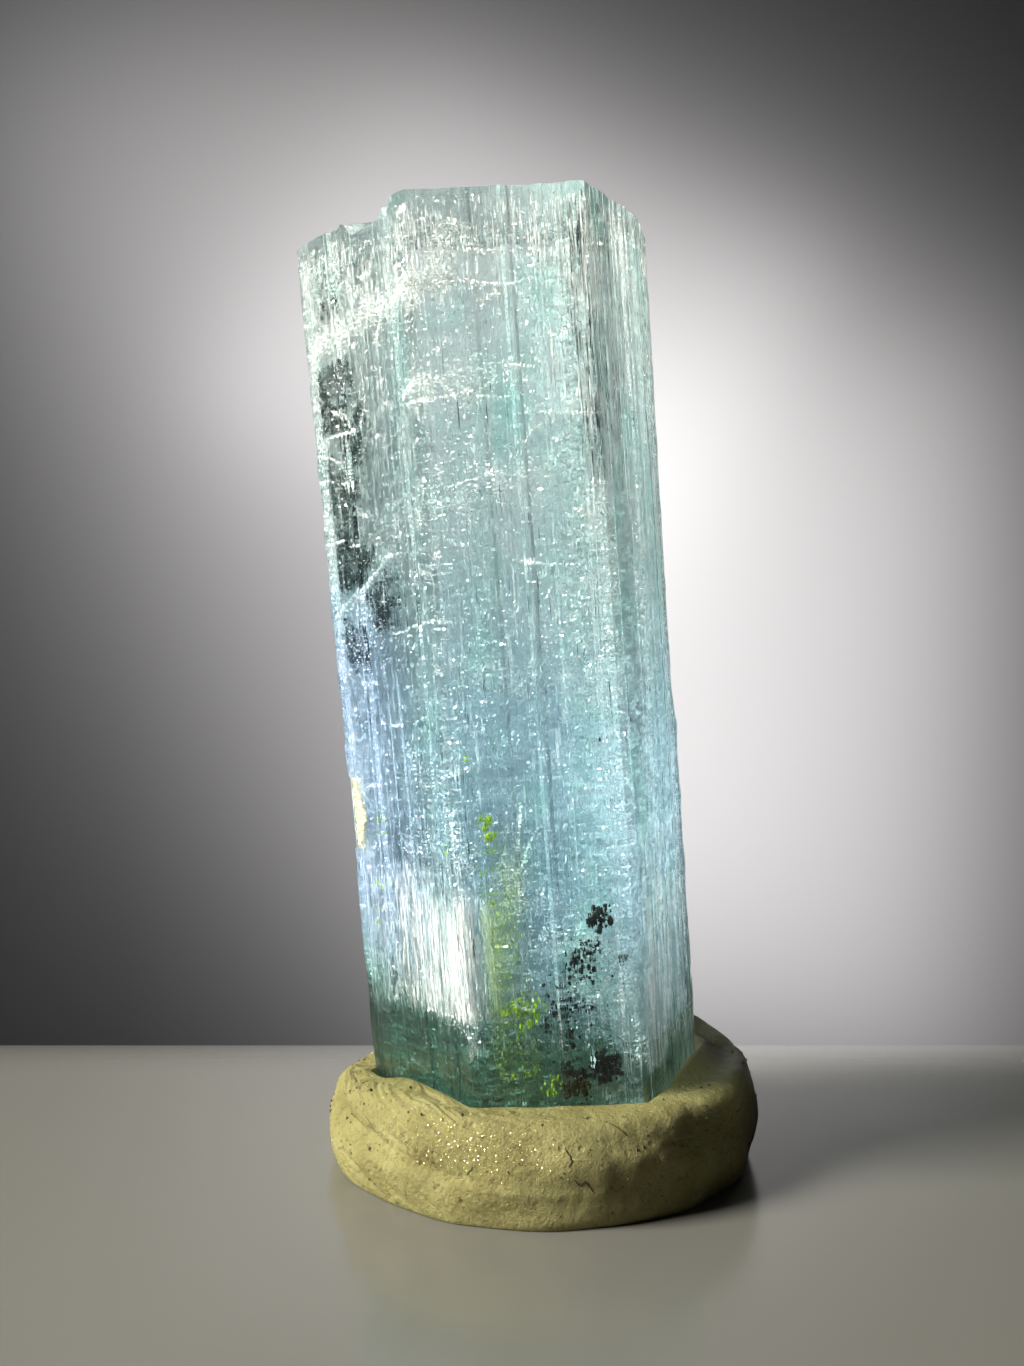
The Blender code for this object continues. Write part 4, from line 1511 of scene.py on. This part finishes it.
def backdrop():
    """A plain curved grey wall behind the table."""
    wall = clouded_material("wall", object_coordinates, 2.0, 2.0, *BACKDROP_TINTS, 0.9)
    headings = np.radians(np.linspace(*BACKDROP_HEADINGS, BACKDROP_COLUMNS + 1))
    heights = np.linspace(*BACKDROP_HEIGHTS, BACKDROP_ROWS + 1)
    points = [
        (BACKDROP_DISTANCE * math.cos(heading), BACKDROP_DISTANCE * math.sin(heading), height)
        for heading in headings
        for height in heights
    ]
    faces = []
    for column in range(BACKDROP_COLUMNS):
        for row in range(BACKDROP_ROWS):
            a = column * len(heights) + row
            faces.append([a, a + 1, a + len(heights) + 1, a + len(heights)])
    stage_mesh("backdrop", points, faces, wall)


def area_light(name, place, target, size, watts, tint, only_diffuse, spread):
    """A rectangular light that aims at the target. size is its width and height, spread is in degrees."""
    light = bpy.data.lights.new(name, "AREA")
    light.shape = "RECTANGLE"
    light.size, light.size_y = size
    light.energy = watts
    light.color = tint
    light.spread = math.radians(spread)
    made = bpy.data.objects.new(name, light)
    made.location = place
    made.rotation_euler = (Vector(target) - Vector(place)).to_track_quat("-Z", "Y").to_euler()
    made.visible_camera = False
    made.visible_glossy = not only_diffuse
    made.visible_transmission = not only_diffuse
    bpy.context.scene.collection.objects.link(made)
    return made


WORLD_TINT = (0.70, 0.74, 0.85)
WORLD_STRENGTH = 0.019
# Washes of light on the backdrop: where they aim (x, z), distance from it, size, watts, turn
WALL_LIGHTS = (
    ("wall_left", -0.0600, 0.0998, 0.0853, (0.1175, 0.3367), 0.272, 23.1),
    ("wall_right", 0.0812, 0.0185, 0.0585, (0.1485, 0.2565), 0.330, -1.8),
    ("wall_top", 0.0007, 0.1519, 0.0502, (0.1503, 0.1635), 0.156, 60.8),
)
WALL_TINT = (1.0, 0.99, 0.97)
FILL_TINT = (0.97, 0.99, 1.0)
# The warm key light from the left, narrow level beams on the crystal's right front face, over the putty, and
# a weak light from behind: name, place, target, size, watts, tint, whether no mirror shows it, spread
STUDIO_LIGHTS = (
    ("key", (-0.192, -0.070, 0.135), (0, 0, 0.012), (0.08, 0.08), 0.225, (1.0, 0.97, 0.88), False, 70),
    ("fill_low", (0.20, -0.15, 0.0142), (0.005, 0, 0.0142), (0.004, 0.004), 0.001, FILL_TINT, True, 5),
    ("fill_high", (0.20, -0.15, 0.030), (0.005, 0, 0.030), (0.004, 0.004), 0.0003, FILL_TINT, True, 5),
    ("rim", (0.07, 0.13, 0.07), (0, 0, 0.01), (0.03, 0.03), 0.018, (1.0, 0.98, 0.95), True, 180),
)


def lights():
    """The dim surroundings, the lights on the object and the washes on the backdrop."""
    world = bpy.data.worlds.new("studio")
    world.use_nodes = True
    background = world.node_tree.nodes["Background"]
    feed(world.node_tree, background, {"Color": WORLD_TINT, "Strength": WORLD_STRENGTH})
    bpy.context.scene.world = world
    for row in STUDIO_LIGHTS:
        area_light(*row)
    for name, x, z, gap, size, watts, turn in WALL_LIGHTS:
        target = Vector((x, math.sqrt(BACKDROP_DISTANCE**2 - x * x), z))
        place = target - Vector((target.x, target.y, 0)).normalized() * gap
        wash = area_light(name, place, target, size, watts, WALL_TINT, True, 180)
        wash.rotation_euler.rotate_axis("Z", math.radians(turn))


def camera():
    """The camera, where the photograph's perspective puts it."""
    data = bpy.data.cameras.new("camera")
    data.lens = LENS
    data.sensor_width = SENSOR_WIDTH
    data.clip_start, data.clip_end = CLIP
    made = bpy.data.objects.new("camera", data)
    made.location = (CAMERA_FROM_PUTTY + PUTTY_CENTRE) * MM
    made.rotation_euler = (math.pi / 2 + CAMERA_PITCH, 0, 0)
    bpy.context.scene.collection.objects.link(made)
    bpy.context.scene.camera = made


INCLUSION_SEED = 11


def main():
    """Builds the scene. The pieces draw on one row of random numbers, so their order stays."""
    draw = np.random.default_rng(INCLUSION_SEED)
    crystal_surface(aquamarine())
    body_haze(draw)
    foot_cloud(draw)
    milky_cloud(draw)
    pale_streaks(draw)
    cleavage_plates(draw)
    bands(draw)
    growth_tubes(draw)
    mineral_grains(draw)
    dark_patches(draw)
    edge_scar(draw)
    putty_body(putty())
    dust(draw)
    glitter(draw)
    floor()
    backdrop()
    lights()
    camera()
    bpy.context.scene.view_settings.view_transform = "Standard"


main()
